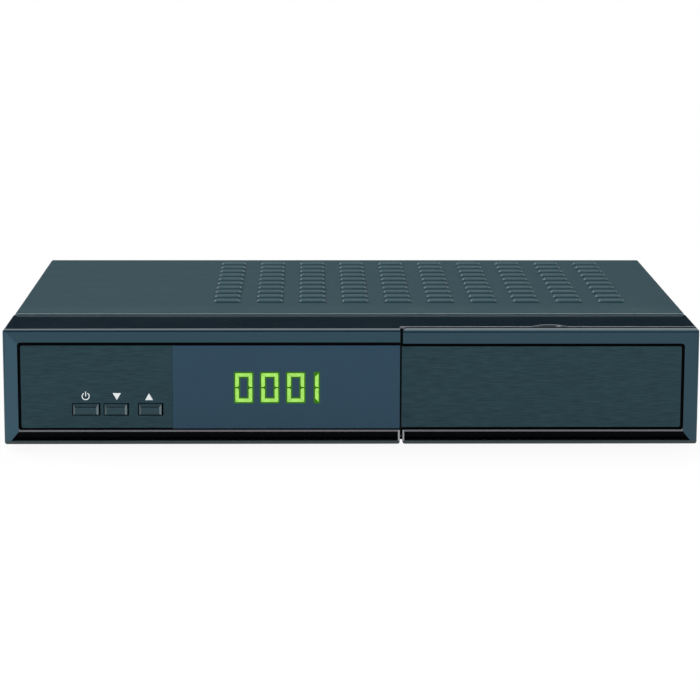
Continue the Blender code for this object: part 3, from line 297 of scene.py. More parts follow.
def newGroup(name, kind, inputs, outputs):
    group = bpy.data.node_groups.new(name, kind)
    for label, carries, default in inputs:
        socket = group.interface.new_socket(label, in_out="INPUT", socket_type="NodeSocket" + carries)
        if default is not None:
            socket.default_value = default
    for label, carries in outputs:
        group.interface.new_socket(label, in_out="OUTPUT", socket_type="NodeSocket" + carries)
    return group, group.nodes.new("NodeGroupInput").outputs, group.nodes.new("NodeGroupOutput")


def objectPattern(group, given, **noise):
    # A noise over the piece's own coordinates, multiplied by the Scale input.
    where = addNode(group, "ShaderNodeTexCoord").outputs["Object"]
    scaled = vectors(group, "MULTIPLY", where, given["Scale"])
    return addNode(group, "ShaderNodeTexNoise", {"Vector": scaled, "Scale": 1, **noise})


def grainGroup():
    # A noise whose Mask runs from 0 to 1 and whose tone varies a colour by the Contrast.
    group, given, end = newGroup("grain", "ShaderNodeTree", [
        ("Scale", "Vector", (1000, 1000, 1000)), ("Detail", "Float", 2.0),
        ("Colour", "Color", (0.5, 0.5, 0.5, 1)), ("Contrast", "Float", 0.2)],
        [("Mask", "Float"), ("Colour", "Color")])
    noise = objectPattern(group, given, Detail=given["Detail"], Roughness=0.6)
    mask = addNode(group, "ShaderNodeMapRange", {"Value": noise, "From Min": 0.28, "From Max": 0.72})
    tone = maths(group, "MULTIPLY_ADD", maths(group, "SUBTRACT", mask, 0.5), given["Contrast"], 1)
    feed(group, end, {"Mask": mask, "Colour": vectors(group, "SCALE", given["Colour"], tone)})
    return group


def handlingGroup():
    # Broad soft patches of handling, where the roughness runs from Low to High.
    group, given, end = newGroup("handling", "ShaderNodeTree", [
        ("Scale", "Vector", (30, 30, 30)), ("Low", "Float", 0.2), ("High", "Float", 0.3)],
        [("Roughness", "Float")])
    noise = objectPattern(group, given, Detail=4)
    feed(group, end, {"Roughness": addNode(group, "ShaderNodeMapRange", {
        "Value": noise, "From Min": 0.3, "From Max": 0.7, "To Min": given["Low"], "To Max": given["High"]})})
    return group


grain = grainGroup()
handling = handlingGroup()


def newMaterial(name, inputs):
    material = bpy.data.materials.new(name)
    material.use_nodes = True
    tree = material.node_tree
    return material, tree, feed(tree, tree.nodes["Principled BSDF"], inputs)


def newFinish(name, colour, roughness=0.4, metallic=0.0, specular=0.5, tint=(1, 1, 1), grainScale=900,
              grainDetail=2.0, contrast=0.1, bump=0.0, bumpDistance=0.00005, wear=0.06, wearScale=28,
              smoothest=0.02):
    material, tree, shader = newMaterial(name, {"Metallic": metallic, "Specular IOR Level": specular,
                                                "Specular Tint": (*tint, 1)})
    texture = addNode(tree, "ShaderNodeGroup", {
        "Scale": grainScale if isinstance(grainScale, tuple) else (grainScale,) * 3, "Detail": grainDetail,
        "Colour": (*colour, 1), "Contrast": contrast}, node_tree=grain)
    film = addNode(tree, "ShaderNodeGroup", {
        "Scale": (wearScale,) * 3, "Low": max(roughness - wear, smoothest), "High": roughness + wear},
        node_tree=handling)
    feed(tree, shader, {"Base Color": texture.outputs["Colour"], "Roughness": film})
    if bump:
        relief = addNode(tree, "ShaderNodeBump", {"Strength": bump, "Distance": bumpDistance,
                                                  "Height": texture.outputs["Mask"]})
        feed(tree, shader, {"Normal": relief})
    return material


def litFinish(name, colour, strength):
    material, tree, shader = newMaterial(name, {"Base Color": (0.02, 0.05, 0.01, 1), "Roughness": 0.5,
                                                "Specular IOR Level": 0, "Emission Strength": strength})
    texture = addNode(tree, "ShaderNodeGroup", {"Scale": (700, 700, 700), "Colour": (*colour, 1),
                                                "Contrast": 0.25}, node_tree=grain)
    feed(tree, shader, {"Emission Color": texture.outputs["Colour"]})
    return material


coolTint = (0.50, 0.85, 1.0)
paints = {
    # The moulding's front faces: their blue-grey base colour is partly painted reflection of the room on black
    # plastic; the top faces of the same plastic take the darker deckBlack.
    "glossBlack": dict(colour=(0.006, 0.022, 0.036), roughness=0.10, specular=0.7, tint=coolTint,
                      contrast=0.06, grainScale=60, wear=0.03),
    "deckBlack": dict(colour=(0.004, 0.010, 0.017), roughness=0.10, specular=0.4, contrast=0.15,
                      grainScale=(18, 40, 40), wear=0.03),
    # Painted shade: near black and almost without reflection, on the down-facing lower bevel, the grooves, the
    # wall behind the flap and the keys' top chamfers.
    "bevelBlack": dict(colour=(0.0012, 0.0014, 0.0022), roughness=0.25, specular=0.02, contrast=0.2),
    "lipGrey": dict(colour=(0.034, 0.051, 0.055), roughness=0.30, specular=0.3),
    # A painted highlight on the narrow lands, rims and rolled edges of the moulding that catch the light.
    "edgeGrey": dict(colour=(0.125, 0.130, 0.150), roughness=0.28),
    # A painted highlight on the rims beside the seam between the fixed front and the flap.
    "seamLight": dict(colour=(0.34, 0.36, 0.38), roughness=0.3),
    "brushed": dict(colour=(0.021, 0.045, 0.056), roughness=0.34, specular=0.15, tint=coolTint, contrast=0.7,
                    grainScale=(160, 400, 3400), grainDetail=3.0, bump=0.2, bumpDistance=0.00003, wear=0.05),
    # The smoked window's blue-grey base colour is partly painted reflection, as on the moulding's front.
    "window": dict(colour=(0.0255, 0.0555, 0.0883), roughness=0.12, specular=0.2, tint=coolTint,
                   contrast=0.04, grainScale=40, wear=0.03),
    "keySatin": dict(colour=(0.030, 0.056, 0.068), roughness=0.25, specular=0.15, tint=coolTint),
    # Lighter copies of the key finish: painted highlights on the keys' right ends and, weaker, on their left
    # ends.
    "keyEdge": dict(colour=(0.13, 0.18, 0.20), roughness=0.2, contrast=0.08),
    "keyShade": dict(colour=(0.075, 0.110, 0.125), roughness=0.3, specular=0.3, contrast=0.08),
    # The cover's base colour is dark paint with part of its sheen painted in, which makes it blue-grey.
    "coverPaint": dict(colour=(0.0178, 0.0470, 0.0600), roughness=0.42, specular=0.05, contrast=0.22,
                       grainScale=2600, bump=0.3, bumpDistance=0.00004, wear=0.05),
    # A lighter copy of the cover paint: painted sheen on the louvre hoods.
    "hoodPaint": dict(colour=(0.0250, 0.0610, 0.0760), roughness=0.42, specular=0.08, contrast=0.12,
                      grainScale=2600, bump=0.1, bumpDistance=0.00003, wear=0.04),
    # Painted glints at the hoods' rounded ends.
    "hoodEnd": dict(colour=(0.085, 0.140, 0.160), roughness=0.3, specular=0.4, contrast=0.12, grainScale=2600,
                    bump=0.1, bumpDistance=0.00003, wear=0.04),
    # A painted highlight on the cover sheet's front edge.
    "coverEdge": dict(colour=(0.23, 0.31, 0.35), roughness=0.3, contrast=0.2, grainScale=2600, bump=0.2,
                      bumpDistance=0.00003),
    "platedSteel": dict(colour=(0.56, 0.56, 0.54), roughness=0.34, metallic=1.0, contrast=0.16,
                        grainScale=160, grainDetail=5.0, bump=0.1),
    "brightSteel": dict(colour=(0.66, 0.66, 0.64), roughness=0.22, metallic=1.0, contrast=0.08),
    "gold": dict(colour=(0.80, 0.56, 0.20), roughness=0.28, metallic=1.0, contrast=0.08),
    "blackSteel": dict(colour=(0.022, 0.024, 0.027), roughness=0.46, specular=0.4, contrast=0.25,
                       grainScale=2400, bump=0.3, bumpDistance=0.00003),
    "blackPlastic": dict(colour=(0.020, 0.021, 0.024), roughness=0.42, specular=0.4, contrast=0.2,
                         grainScale=3500, bump=0.2, bumpDistance=0.00003),
    "whitePlastic": dict(colour=(0.75, 0.75, 0.72), roughness=0.38, contrast=0.04),
    "redPlastic": dict(colour=(0.55, 0.02, 0.02), roughness=0.35, contrast=0.06),
    "greenBoard": dict(colour=(0.02, 0.14, 0.06), roughness=0.34, contrast=0.5, grainScale=(500, 120, 500),
                       grainDetail=1.0, bump=0.2),
    "rubber": dict(colour=(0.020, 0.020, 0.021), roughness=0.78, specular=0.3, contrast=0.2, bump=0.3,
                   grainScale=3000, bumpDistance=0.00004),
    "aluminium": dict(colour=(0.60, 0.61, 0.62), roughness=0.34, metallic=1.0, contrast=0.12,
                      grainScale=(2500, 90, 2500), bump=0.15),
    "chip": dict(colour=(0.025, 0.025, 0.028), roughness=0.5, contrast=0.2, grainScale=2600, bump=0.2),
    "coil": dict(colour=(0.70, 0.50, 0.08), roughness=0.42, contrast=0.2, grainScale=(60, 60, 900)),
    "ribbon": dict(colour=(0.42, 0.42, 0.44), roughness=0.45, contrast=0.3, grainScale=(900, 20, 20)),
    "print": dict(colour=(0.80, 0.84, 0.86), roughness=0.45, specular=0.3, contrast=0.06),
}
finishes = {name: newFinish(name, **paint) for name, paint in paints.items()}
finishes["lit"] = litFinish("lit", (0.50, 1.0, 0.18), 0.76)
finishes["glow"] = litFinish("glow", (0.02, 0.12, 0.0), 1.0)

# Where the painted sheen on the moulding's left strip lies, and its lighter colour.
leftStripSheen = {
    "colour": (0.020, 0.048, 0.072),
    "edge": -halfWidth + 0.0058,
    "mitre": topZ - halfWidth,
    "fade": 0.0003,
    "mitreFade": 0.0009,
}


def paintLeftStripSheen(material, s):
    # Painted sheen: the moulding's left strip, up to the mitre at its top, gets a lighter colour, as if it
    # caught more of the room than the rest.
    tree = material.node_tree
    texture = next(node for node in tree.nodes if node.type == "GROUP" and node.node_tree == grain)
    where = addNode(tree, "ShaderNodeTexCoord").outputs["Object"]
    parts = addNode(tree, "ShaderNodeSeparateXYZ", {0: where}).outputs
    both = maths(tree, "ADD", parts["X"], parts["Z"])
    edges = ((parts["X"], s["edge"], s["fade"]), (both, s["mitre"], s["mitreFade"]))
    ramps = [addNode(tree, "ShaderNodeMapRange", {"Value": value, "From Min": edge + fade,
                                                  "From Max": edge - fade}) for value, edge, fade in edges]
    tone = addNode(tree, "ShaderNodeMix", {
        "Factor": maths(tree, "MINIMUM", *ramps), "A": tuple(texture.inputs["Colour"].default_value),
        "B": (*s["colour"], 1)}, data_type="RGBA")
    feed(tree, texture, {"Colour": tone.outputs["Result"]})


paintLeftStripSheen(finishes["glossBlack"], leftStripSheen)
print("finishes made:", len(finishes))


# Geometry Nodes tree for what repeats in rows and columns

def gridTree():
    # Copies of Part in rows and columns, made real and given one material.
    tree, given, end = newGroup("partGrid", "GeometryNodeTree", [
        ("Part", "Object", None), ("Columns", "Int", 1), ("Rows", "Int", 1), ("Start", "Vector", (0, 0, 0)),
        ("Column Step", "Vector", (0.01, 0, 0)), ("Row Step", "Vector", (0, 0.01, 0)),
        ("Turn", "Rotation", (0, 0, 0)), ("Finish", "Material", None)], [("Geometry", "Geometry")])
    index, columns = addNode(tree, "GeometryNodeInputIndex"), given["Columns"]
    column = maths(tree, "MODULO", index, columns)
    row = maths(tree, "FLOOR", maths(tree, "DIVIDE", index, columns))
    across = vectors(tree, "SCALE", given["Column Step"], column)
    along = vectors(tree, "SCALE", given["Row Step"], row)
    place = vectors(tree, "ADD", vectors(tree, "ADD", across, along), given["Start"])
    points = addNode(tree, "GeometryNodePoints", {"Count": maths(tree, "MULTIPLY", columns, given["Rows"]),
                                                  "Position": place})
    part = addNode(tree, "GeometryNodeObjectInfo", {"Object": given["Part"]}).outputs["Geometry"]
    copies = addNode(tree, "GeometryNodeInstanceOnPoints", {"Points": points, "Instance": part,
                                                            "Rotation": given["Turn"]})
    real = addNode(tree, "GeometryNodeRealizeInstances", {0: copies})
    finish = addNode(tree, "GeometryNodeSetMaterial", {"Geometry": real, "Material": given["Finish"]})
    feed(tree, end, {0: finish})
    return tree


partGrid = gridTree()


def repeated(name, part, finish, columns, rows, start, columnStep=(0, 0, 0), rowStep=(0, 0, 0),
             turn=(0, 0, 0)):
    host = linked(bpy.data.objects.new(name, bpy.data.meshes.new(name)))
    step = host.modifiers.new("copies", "NODES")
    step.node_group = partGrid
    values = {"Part": part, "Columns": columns, "Rows": rows, "Start": start, "Column Step": columnStep,
              "Row Step": rowStep, "Turn": turn, "Finish": finishes[finish]}
    for item in partGrid.interface.items_tree:
        if item.item_type == "SOCKET" and item.in_out == "INPUT":
            step[item.identifier] = values[item.name]
    bake(host)
    bpy.data.objects.remove(part, do_unlink=True)
    return host


def repeatedPiece(name, part, body, finish, grid, *replaced, **steps):
    # The grid is the number of columns, the number of rows and the place of the first copy.
    return finishPiece(repeated(name, part, finish, *grid, **steps), body, finish, *replaced)


# Steel cover: a folded sheet with rows of pressed louvres

cover = {
    "topZ": topZ + 0.0009,
    "sheet": 0.0008,
    "bendRadius": 0.0010,
    "bendSteps": 5,
    "edge": 0.00008,
    "frontRoll": 0.0004,
    "edgeBand": 0.0010,
    "wallSkin": 0.00005,
    "sideFacing": 0.5,
    "columns": 10,
    "rows": 10,
    "louvreWidth": 0.0116,
    "louvreLength": 0.0042,
    "pitchX": 0.01816,
    "pitchY": 0.0122,
    "firstLeft": -0.0578,
    "firstBehindFront": 0.0255,
    "frontProfile": [(0, 0), (0.0001, 0.00025), (0.0004, 0.00065), (0.0007, 0.00085), (0.0012, 0.00107),
                     (0.0018, 0.0012), (0.0026, 0.00127), (0.0042, 0.00129)],
    "endProfile": [(0, 0), (0.00015, 0.3), (0.0004, 0.62), (0.0007, 0.85), (0.0011, 1), (0.0034, 1)],
    "cornerBack": 0.0012,
    # The glint columns and rows pick out the hoods' ends, where painted glints lie.
    "glintColumns": (0, 5),
    "glintRows": (2, 6),
    "glintLift": 0.00002,
    "glintWall": 0.00012,
    "hoodWall": 0.0005,
}


def hoodShell(c, name, columns, rows, lift, wall):
    # A closed shell over part of a hood: a steep foot, a crest that rises to the open rear, rounded ends.
    half = c["louvreWidth"] / 2
    ends = c["endProfile"]
    places = [(-half + reach, share) for reach, share in ends] + [(0, 1)]
    places += [(half - reach, share) for reach, share in reversed(ends)]
    reach = ends[-2][0]
    mesh = bmesh.new()
    for first, last in columns:
        grids = []
        for drop in (-lift, wall):
            grid = []
            for y, rise in c["frontProfile"][rows[0]:rows[1]]:
                row = []
                for x, share in places[first:last]:
                    beside = min(half - abs(x), reach) / reach
                    back = (1 - beside) ** 2 * c["cornerBack"] * (1 - y / c["louvreLength"])
                    row.append(mesh.verts.new((x, y + back, c["topZ"] + rise * share - drop)))
                grid.append(row)
            grids.append(grid)
        upper, lower = grids
        for grid in grids:
            for row, following in zip(grid, grid[1:]):
                for here in range(len(row) - 1):
                    mesh.faces.new((row[here], row[here + 1], following[here + 1], following[here]))
        rim = [(0, here) for here in range(len(upper[0]))] + [(row, -1) for row in range(1, len(upper))]
        rim += [(-1, here) for here in reversed(range(len(upper[0]) - 1))]
        rim += [(row, 0) for row in reversed(range(1, len(upper) - 1))]
        bridge(mesh, [upper[row][here] for row, here in rim], [lower[row][here] for row, here in rim])
    return addSolid(name, mesh, 70)


def louvres(c, firstY):
    width = 2 * len(c["endProfile"]) + 1
    grid = (c["columns"], c["rows"], (c["firstLeft"] + c["louvreWidth"] / 2, firstY, 0))
    steps = {"columnStep": (c["pitchX"], 0, 0), "rowStep": (0, c["pitchY"], 0)}
    hood = hoodShell(c, "hood", [(0, width)], (0, len(c["frontProfile"])), 0, c["hoodWall"])
    repeatedPiece("coverLouvres", hood, "receiver", "hoodPaint", grid, **steps)
    # Thin shells over the hoods' rounded ends, in a lighter finish, are painted glints.
    first, last = c["glintColumns"]
    pale = hoodShell(c, "pale", [(first, last), (width - last, width - first)], c["glintRows"], c["glintLift"],
                     c["glintWall"])
    repeatedPiece("louvreEnds", pale, "receiver", "hoodEnd", grid, **steps)


def rollFrontEdge(c, sheet):
    # Only the outer edge of the sheet's front is rounded. The inner one stays sharp.
    mesh = meshOf(sheet)
    edges = []
    for edge in mesh.edges:
        if max(vert.co.y for vert in edge.verts) > coverLow.y + hair:
            continue
        corner = edge.verts[0].co
        for face in edge.link_faces:
            outward = face.normal.x * corner.x + face.normal.z * (corner.z - baseZ)
            if abs(face.normal.y) < c["sideFacing"] and outward > 0:
                edges.append(edge)
    bmesh.ops.bevel(mesh, geom=edges, offset=c["frontRoll"], segments=3, profile=0.5, affect="EDGES")
    putBack(mesh, sheet)


def coverSheet(c):
    halfX, bottom = coverHigh.x, coverLow.z
    radius, quarter = c["bendRadius"], [90 * step / c["bendSteps"] for step in range(c["bendSteps"] + 1)]
    lefts = [c["firstLeft"] + column * c["pitchX"] for column in range(c["columns"])]
    holes = [(left, left + c["louvreWidth"]) for left in lefts]
    across = [(-halfX, bottom)]
    across += arcPoints((-halfX + radius, c["topZ"] - radius), radius, [180 - turn for turn in quarter])
    across += [(x, c["topZ"]) for hole in holes for x in hole]
    across += arcPoints((halfX - radius, c["topZ"] - radius), radius, [90 - turn for turn in quarter])
    across.append((halfX, bottom))
    firstY = coverLow.y + c["firstBehindFront"]
    starts = [firstY + row * c["pitchY"] for row in range(c["rows"])]
    slots = [(start, start + c["louvreLength"]) for start in starts]
    along = [coverLow.y, *(y for slot in slots for y in slot), coverHigh.y]
    mesh = bmesh.new()
    grid = [[mesh.verts.new((x, y, z)) for x, z in across] for y in along]
    for row, following, ys in zip(grid, grid[1:], zip(along, along[1:])):
        for here, (left, right) in enumerate(zip(across, across[1:])):
            if (left[0], right[0]) not in holes or ys not in slots:
                mesh.faces.new((row[here], row[here + 1], following[here + 1], following[here]))
    sheet = addSolid("coverSheet", mesh)
    if sum(face.normal.z * face.area for face in sheet.data.polygons) < 0:
        sheet.data.flip_normals()
    sheet.data.shade_smooth()
    wall = sheet.modifiers.new("thickness", "SOLIDIFY")
    wall.thickness = c["sheet"]
    wall.offset = -1
    bake(sheet)
    rollFrontEdge(c, sheet)
    addBevel(sheet, c["edge"], 3, 60).harden_normals = True
    bake(sheet)
    finishPiece(sheet, "receiver", ["coverPaint", "coverEdge"], "top_cover")
    # The front edge's wall near the top takes the lighter second finish: a painted highlight along the cover's
    # front edge.
    for face in sheet.data.polygons:
        if face.center.y < coverLow.y + c["wallSkin"] and face.center.z > c["topZ"] - c["edgeBand"]:
            face.material_index = 1
    louvres(c, firstY)


coverSheet(cover)
print("cover made")


# Front moulding and flap

bezel = {
    "deckDepth": 0.036,
    # The rolls are (degrees, length) steps down from the top edge.
    "roll": [(8, 0.0009), (12, 0.0008), (18, 0.00045), (58, 0.0002), (66, 0.0002), (74, 0.0002),
             (83, 0.0001)],
    "flapRoll": [(4, 0.0010), (9, 0.0012), (14, 0.0007), (20, 0.0002), (50, 0.0004), (56, 0.0003),
                 (72, 0.0002), (82, 0.0002)],
    "lowEdge": 0.0003,
    "lowEdgeShare": 0.3,
    "planCorners": (0.0010, 0.0010),
    "flapPlanCorners": (0.0003, 0.0010),
    "outlineSpare": 0.00002,
    "deckRoll": 0.0008,
    "landDepth": 0.00003,
    "landOverlap": 0.0003,
    "rimReach": 0.001,
    "corner": 0.0012,
    "flapCorners": (0.0012, 0.0012, 0.0012, 0.0015),
    "seamCorners": (0.0010, 0.0006),
    "seamSpare": 0.0005,
    "frontWall": 0.0035,
    "deckWall": 0.0018,
    "bottomWall": 0.002,
    "sideWall": 0.0040,
    "partition": 0.002,
    "partitionDepth": 0.016,
    "tongueInset": 0.0011,
    "tongueLow": 0.004,
    "tongueChamfer": 0.0008,
    "sideStrip": 0.0058,
    "topStrip": 0.0053,
    "flapTopStrip": 0.0058,
    "bottomStrip": 0.00582,
    "recessDepth": 0.0015,
    "recessCorner": 0.0013,
    "ridgeRise": 0.00025,
    "ridgeRun": 0.00025,
    "ridgeOverlap": 0.0001,
    "bevelTop": 0.0052,
    "bevelBottom": 0.00135,
    "bevelDepth": 0.0016,
    "mitreRun": 0.0032,
    "mitreStart": 0.0059,
    "seamRim": 0.0007,
    "holeDepth": 0.0045,
    "blockGap": 0.0005,
    "hingeDepth": 0.0044,
    "hingeHeight": 0.0029,
    "swingRadius": 0.00557,
    "flapThickness": 0.006,
    "pocketInset": 0.0025,
    "pocketFoot": 0.0058,
    "pocketHead": 0.002,
    "pocketFloor": 0.0026,
    "pocketCorner": 0.001,
    "notchHead": 0.0006,
    "lugRadius": 0.0017,
    "lugXs": (0.1315, 0.1345),
    "lugFoot": 0.001,
    "lugLength": 0.006,
    "scoopWidth": 0.015,
    "scoopReach": 0.0056,
    "scoopDepth": 0.001,
    "scoopRim": 0.0008,
    "scoopHead": 0.0006,
    "scoopFlare": 0.0001,
    "smallEdge": 0.00016,
    "ribs": 9,
    "ribThickness": 0.0010,
    "ribSunk": 0.0002,
    "ribShort": 0.0012,
}
flapBack = frontY + bezel["flapThickness"]
roomEnd = flapBack + gap
hingeY = frontY + bezel["hingeDepth"]
hingeZ = baseZ + bezel["hingeHeight"]
bevelTopZ = baseZ + bezel["bevelTop"]
bevelBottomZ = baseZ + bezel["bevelBottom"]
recessLow = baseZ + bezel["bottomStrip"]
scoopX = (flapLow.x + flapHigh.x) / 2


def rollSize(roll):
    run = sum(length * math.cos(math.radians(tilt)) for tilt, length in roll)
    return run, sum(length * math.sin(math.radians(tilt)) for tilt, length in roll)


def frontBlock(b, name, xs, ys, corners, roll, planCorners):
    # Three outlines meet in it: the rolled side view, the front view and the plan.
    spare, low, corner = b["outlineSpare"], b["lowEdge"], b["lowEdge"] * b["lowEdgeShare"]
    y, z = ys[0] + rollSize(roll)[0], topZ
    side = [(ys[0], baseZ + low), (ys[0] + corner, baseZ + corner), (ys[0] + low, baseZ), (ys[1], baseZ),
            (ys[1], topZ), (y, z)]
    for tilt, length in roll:
        y -= length * math.cos(math.radians(tilt))
        z -= length * math.sin(math.radians(tilt))
        side.append((y, z))
    block = outlinePrism(name, side, "X", xs[0] - spare, xs[1] + spare)
    plan = roundedOutline((xs[0] - spare, xs[1] + spare), (ys[0] - spare, ys[1] + spare),
                          (*planCorners, 0, 0))
    front = roundedOutline(xs, (baseZ - spare, topZ + spare), corners)
    return carve(block, "INTERSECT", outlinePrism("front", front, "Y", ys[0] - 2 * spare, ys[1] + 2 * spare),
                 outlinePrism("plan", plan, "Z", baseZ - 2 * spare, topZ + 2 * spare))


def lowerBevelTool(b, side):
    # The outer end is mitred and the inner end stops square, short of the seam.
    slope = (b["bevelTop"] - b["bevelBottom"]) / b["bevelDepth"]
    mitre = b["mitreRun"] / (b["bevelTop"] - b["bevelBottom"])
    inner = seamX - b["seamRim"] if side < 0 else flapLow.x + b["seamRim"]
    mesh = bmesh.new()
    ends = [[], []]
    for depth, height in ((-overrun, b["bevelTop"] + overrun * slope), (b["bevelDepth"], b["bevelBottom"]),
                          (-overrun, b["bevelBottom"])):
        reach = halfWidth - b["mitreStart"] + (b["bevelTop"] - height) * mitre
        for ring, x in zip(ends, (side * reach, inner)):
            ring.append(mesh.verts.new((x, frontY + depth, baseZ + height)))
    for ring in ends:
        mesh.faces.new(ring)
    bridge(mesh, *ends)
    return addSolid("lowerBevelTool", mesh)


def landTools(b, side):
    # The narrow land over the bevel and the rim beside the seam lie a hair lower than the strips.
    seam = seamX if side < 0 else flapLow.x
    rim = seam + side * b["seamRim"]
    front, back = frontY - overrun, frontY + b["landDepth"]
    top = recessLow + b["landOverlap"]
    land = box("landTool", sorted((side * (halfWidth - b["mitreStart"]), rim)), (front, back),
               (bevelTopZ - b["landOverlap"], top))
    return land, box("rimTool", sorted((rim, seam - side * b["rimReach"])), (front, back + hair),
                     (bevelBottomZ, top))


def panelRecess(b, xs, corners, topStrip):
    recess = outlinePrism("recess", roundedOutline(xs, (recessLow, topZ - topStrip), corners), "Y",
                          frontY - overrun, frontY + b["recessDepth"])
    slope = b["ridgeRise"] / b["ridgeRun"]
    radius = b["recessCorner"] / 2
    ridgeXs = [x + (math.copysign(radius, -x) if corner else 0) for x, corner in zip(xs, corners)]
    front, back, top = frontY - overrun, frontY + b["ridgeRun"], recessLow + b["ridgeOverlap"]
    foot = recessLow - b["ridgeRise"] - overrun * slope
    return recess, outlinePrism("ridge", [(front, top), (front, foot), (back, recessLow), (back, top)], "X",
                                *ridgeXs)


# Slots by index: strip, deck, lower bevel, lip, recess, highlight and seam. The lower bevel and recess slots
# hold painted shade, the highlight and seam slots painted highlights.
mouldingFinishes = ["glossBlack", "deckBlack", "bevelBlack", "lipGrey", "bevelBlack", "edgeGrey", "seamLight"]
strip, deck, lowerBevel, lip, recess, highlightSlot, seam = range(len(mouldingFinishes))
zones = {
    # Lengths round the places where one finish ends and the next begins, and parts of the faces' normals.
    "slack": 0.0001,
    "skin": 0.00008,
    "bevelSkin": 0.00005,
    "landSkin": (0.5, 2.0, 0.9),
    "level": 0.9995,
    "flat": 0.999,
    "faint": 0.05,
    "facing": -0.9,
    "upright": -0.99,
    "scoopSide": 0.0003,
    "scoopBehind": 0.001,
    "scoopHighlight": (0.93, -0.1),
    "behind": 0.0002,
    "rollFromSeam": 0.0012,
    "rollBehind": 0.0005,
    "deckDrop": 0.0012,
    "stepReach": 0.0008,
    "stepDrop": 0.0005,
    "frontDepth": 0.0032,
    "ridgeLean": 0.3,
    "ridgeBelow": 0.0006,
    "ridgeDepth": 0.001,
    "landSlack": 0.0004,
    "bevelLean": 0.2,
    "bevelEnd": 0.002,
}


def zoneOf(b, z, face, drop):
    # Which of the slots a face of the moulding or the flap takes, by its place and the way it faces. Narrow
    # lands, rims and rolled edges get painted highlights, and grooves, the wall behind the flap and the lower
    # bevel get painted shade.
    x, y, height = face.center.x, face.center.y, face.center.z - baseZ
    normal, slack, top = face.normal, z["slack"], topZ - face.center.z
    depth, behind = y - frontY, y - flapBack
    sloped = z["faint"] < normal.z < z["level"]
    facing = normal.y < z["facing"]
    thin, thick, inner = (b["landDepth"] * share for share in z["landSkin"])
    inScoop = abs(x - scoopX) < b["scoopWidth"] / 2 + z["scoopSide"] and (
        behind < b["scoopReach"] + z["scoopBehind"])
    # The finger scoop's rim, where it tilts up towards the front, gets a painted highlight.
    if sloped and behind > z["behind"] and inScoop and top < b["scoopDepth"] + slack:
        return highlightSlot if normal.z > z["scoopHighlight"][0] and normal.y < z["scoopHighlight"][1] else deck
    # The deck's rolled edge just behind the flap gets a painted highlight.
    if sloped and x > seamX + z["rollFromSeam"] and top < b["deckRoll"] + slack and (
            z["behind"] < behind < b["deckRoll"] + z["rollBehind"]):
        return highlightSlot
    if sloped and top < max(drop, b["scoopDepth"]) + 2 * slack:
        return strip
    if normal.z > z["flat"] and top < z["deckDrop"]:
        return deck
    # The front-facing wall behind the flap gets painted shade.
    if facing and abs(behind) < z["stepReach"] and top > z["stepDrop"]:
        return recess
    if depth > z["frontDepth"]:
        return deck
    # The ridge over the lower bevel gets a painted highlight.
    if normal.z > z["ridgeLean"] and normal.y < -z["ridgeLean"] and depth < z["ridgeDepth"] and (
            -z["ridgeBelow"] < height - b["bottomStrip"] < slack):
        return highlightSlot
    # The rims beside the seam get a painted highlight.
    if facing and inner < depth < z["skin"] and (
            seamX - b["seamRim"] - slack < x < flapLow.x + b["seamRim"] + slack):
        return seam
    # The narrow land over the lower bevel gets a painted highlight.
    if facing and thin < depth < thick and (
            b["bevelTop"] - z["landSlack"] < height < b["bottomStrip"] + z["landSlack"]):
        return highlightSlot
    # The grooves round the panels get painted shade.
    if depth > z["skin"] and height > b["bottomStrip"] - slack and top > b["topStrip"] - slack and (
            abs(x) < halfWidth - b["sideStrip"] + slack):
        return recess
    # The lower bevel's down-facing and end faces get painted shade.
    if depth > z["bevelSkin"] and b["bevelBottom"] - slack < height < b["bevelTop"] + slack and (
            abs(x) < halfWidth - z["bevelEnd"]) and (
            normal.z < -z["bevelLean"] or abs(normal.x) > z["bevelLean"]):
        return lowerBevel
    return lip if height < b["bevelBottom"] + slack else strip


def splitLip(piece):
    # The strip under the lower bevel becomes a face of its own.
    mesh = meshOf(piece)
    upright = [f for f in mesh.faces if f.normal.y < zones["upright"]]
    faces = [f for f in upright if f.verts[0].co.y < frontY + 2 * hair]
    cut = faces + list({e for f in faces for e in f.edges}) + list({v for f in faces for v in f.verts})
    bmesh.ops.bisect_plane(mesh, geom=cut, plane_co=(0, 0, bevelBottomZ), plane_no=(0, 0, 1))
    for face in mesh.faces:
        if face.calc_center_median().z < bevelBottomZ and face.normal.y < zones["upright"]:
            face.material_index = lip
    putBack(mesh, piece)


def dressMoulding(b, piece, body, node, roll):
    splitLip(piece)
    soften(piece, b["smallEdge"])
    finishPiece(piece, body, mouldingFinishes, node)
    for face in piece.data.polygons:
        face.material_index = zoneOf(b, zones, face, rollSize(roll)[1])


def seamCorner(b, z, radius, up):
    # A tool that rounds off one corner of the fixed front where the flap begins.
    spare = b["seamSpare"]
    points = [(seamX + spare, z - up * spare), (seamX - radius, z - up * spare)]
    arc = arcPoints((seamX - radius, 0), radius, range(-90, 1, 15))
    points += [(x, z + up * (radius + rise)) for x, rise in arc]
    points.append((seamX + spare, z + up * radius))
    return outlinePrism("seamCorner", points, "Y", frontY - overrun, roomEnd)


def tongueBlock(b):
    # The part of the moulding that slides under the cover.
    half, chamfer = coverHigh.x - b["tongueInset"], b["tongueChamfer"]
    low, top = baseZ + b["tongueLow"], bezelHigh.z
    return outlinePrism("tongue", [(-half, low), (half, low), (half, top - chamfer), (half - chamfer, top),
                                   (chamfer - half, top), (-half, top - chamfer)],
                        "Y", frontY + b["deckDepth"] / 2, bezelHigh.y)


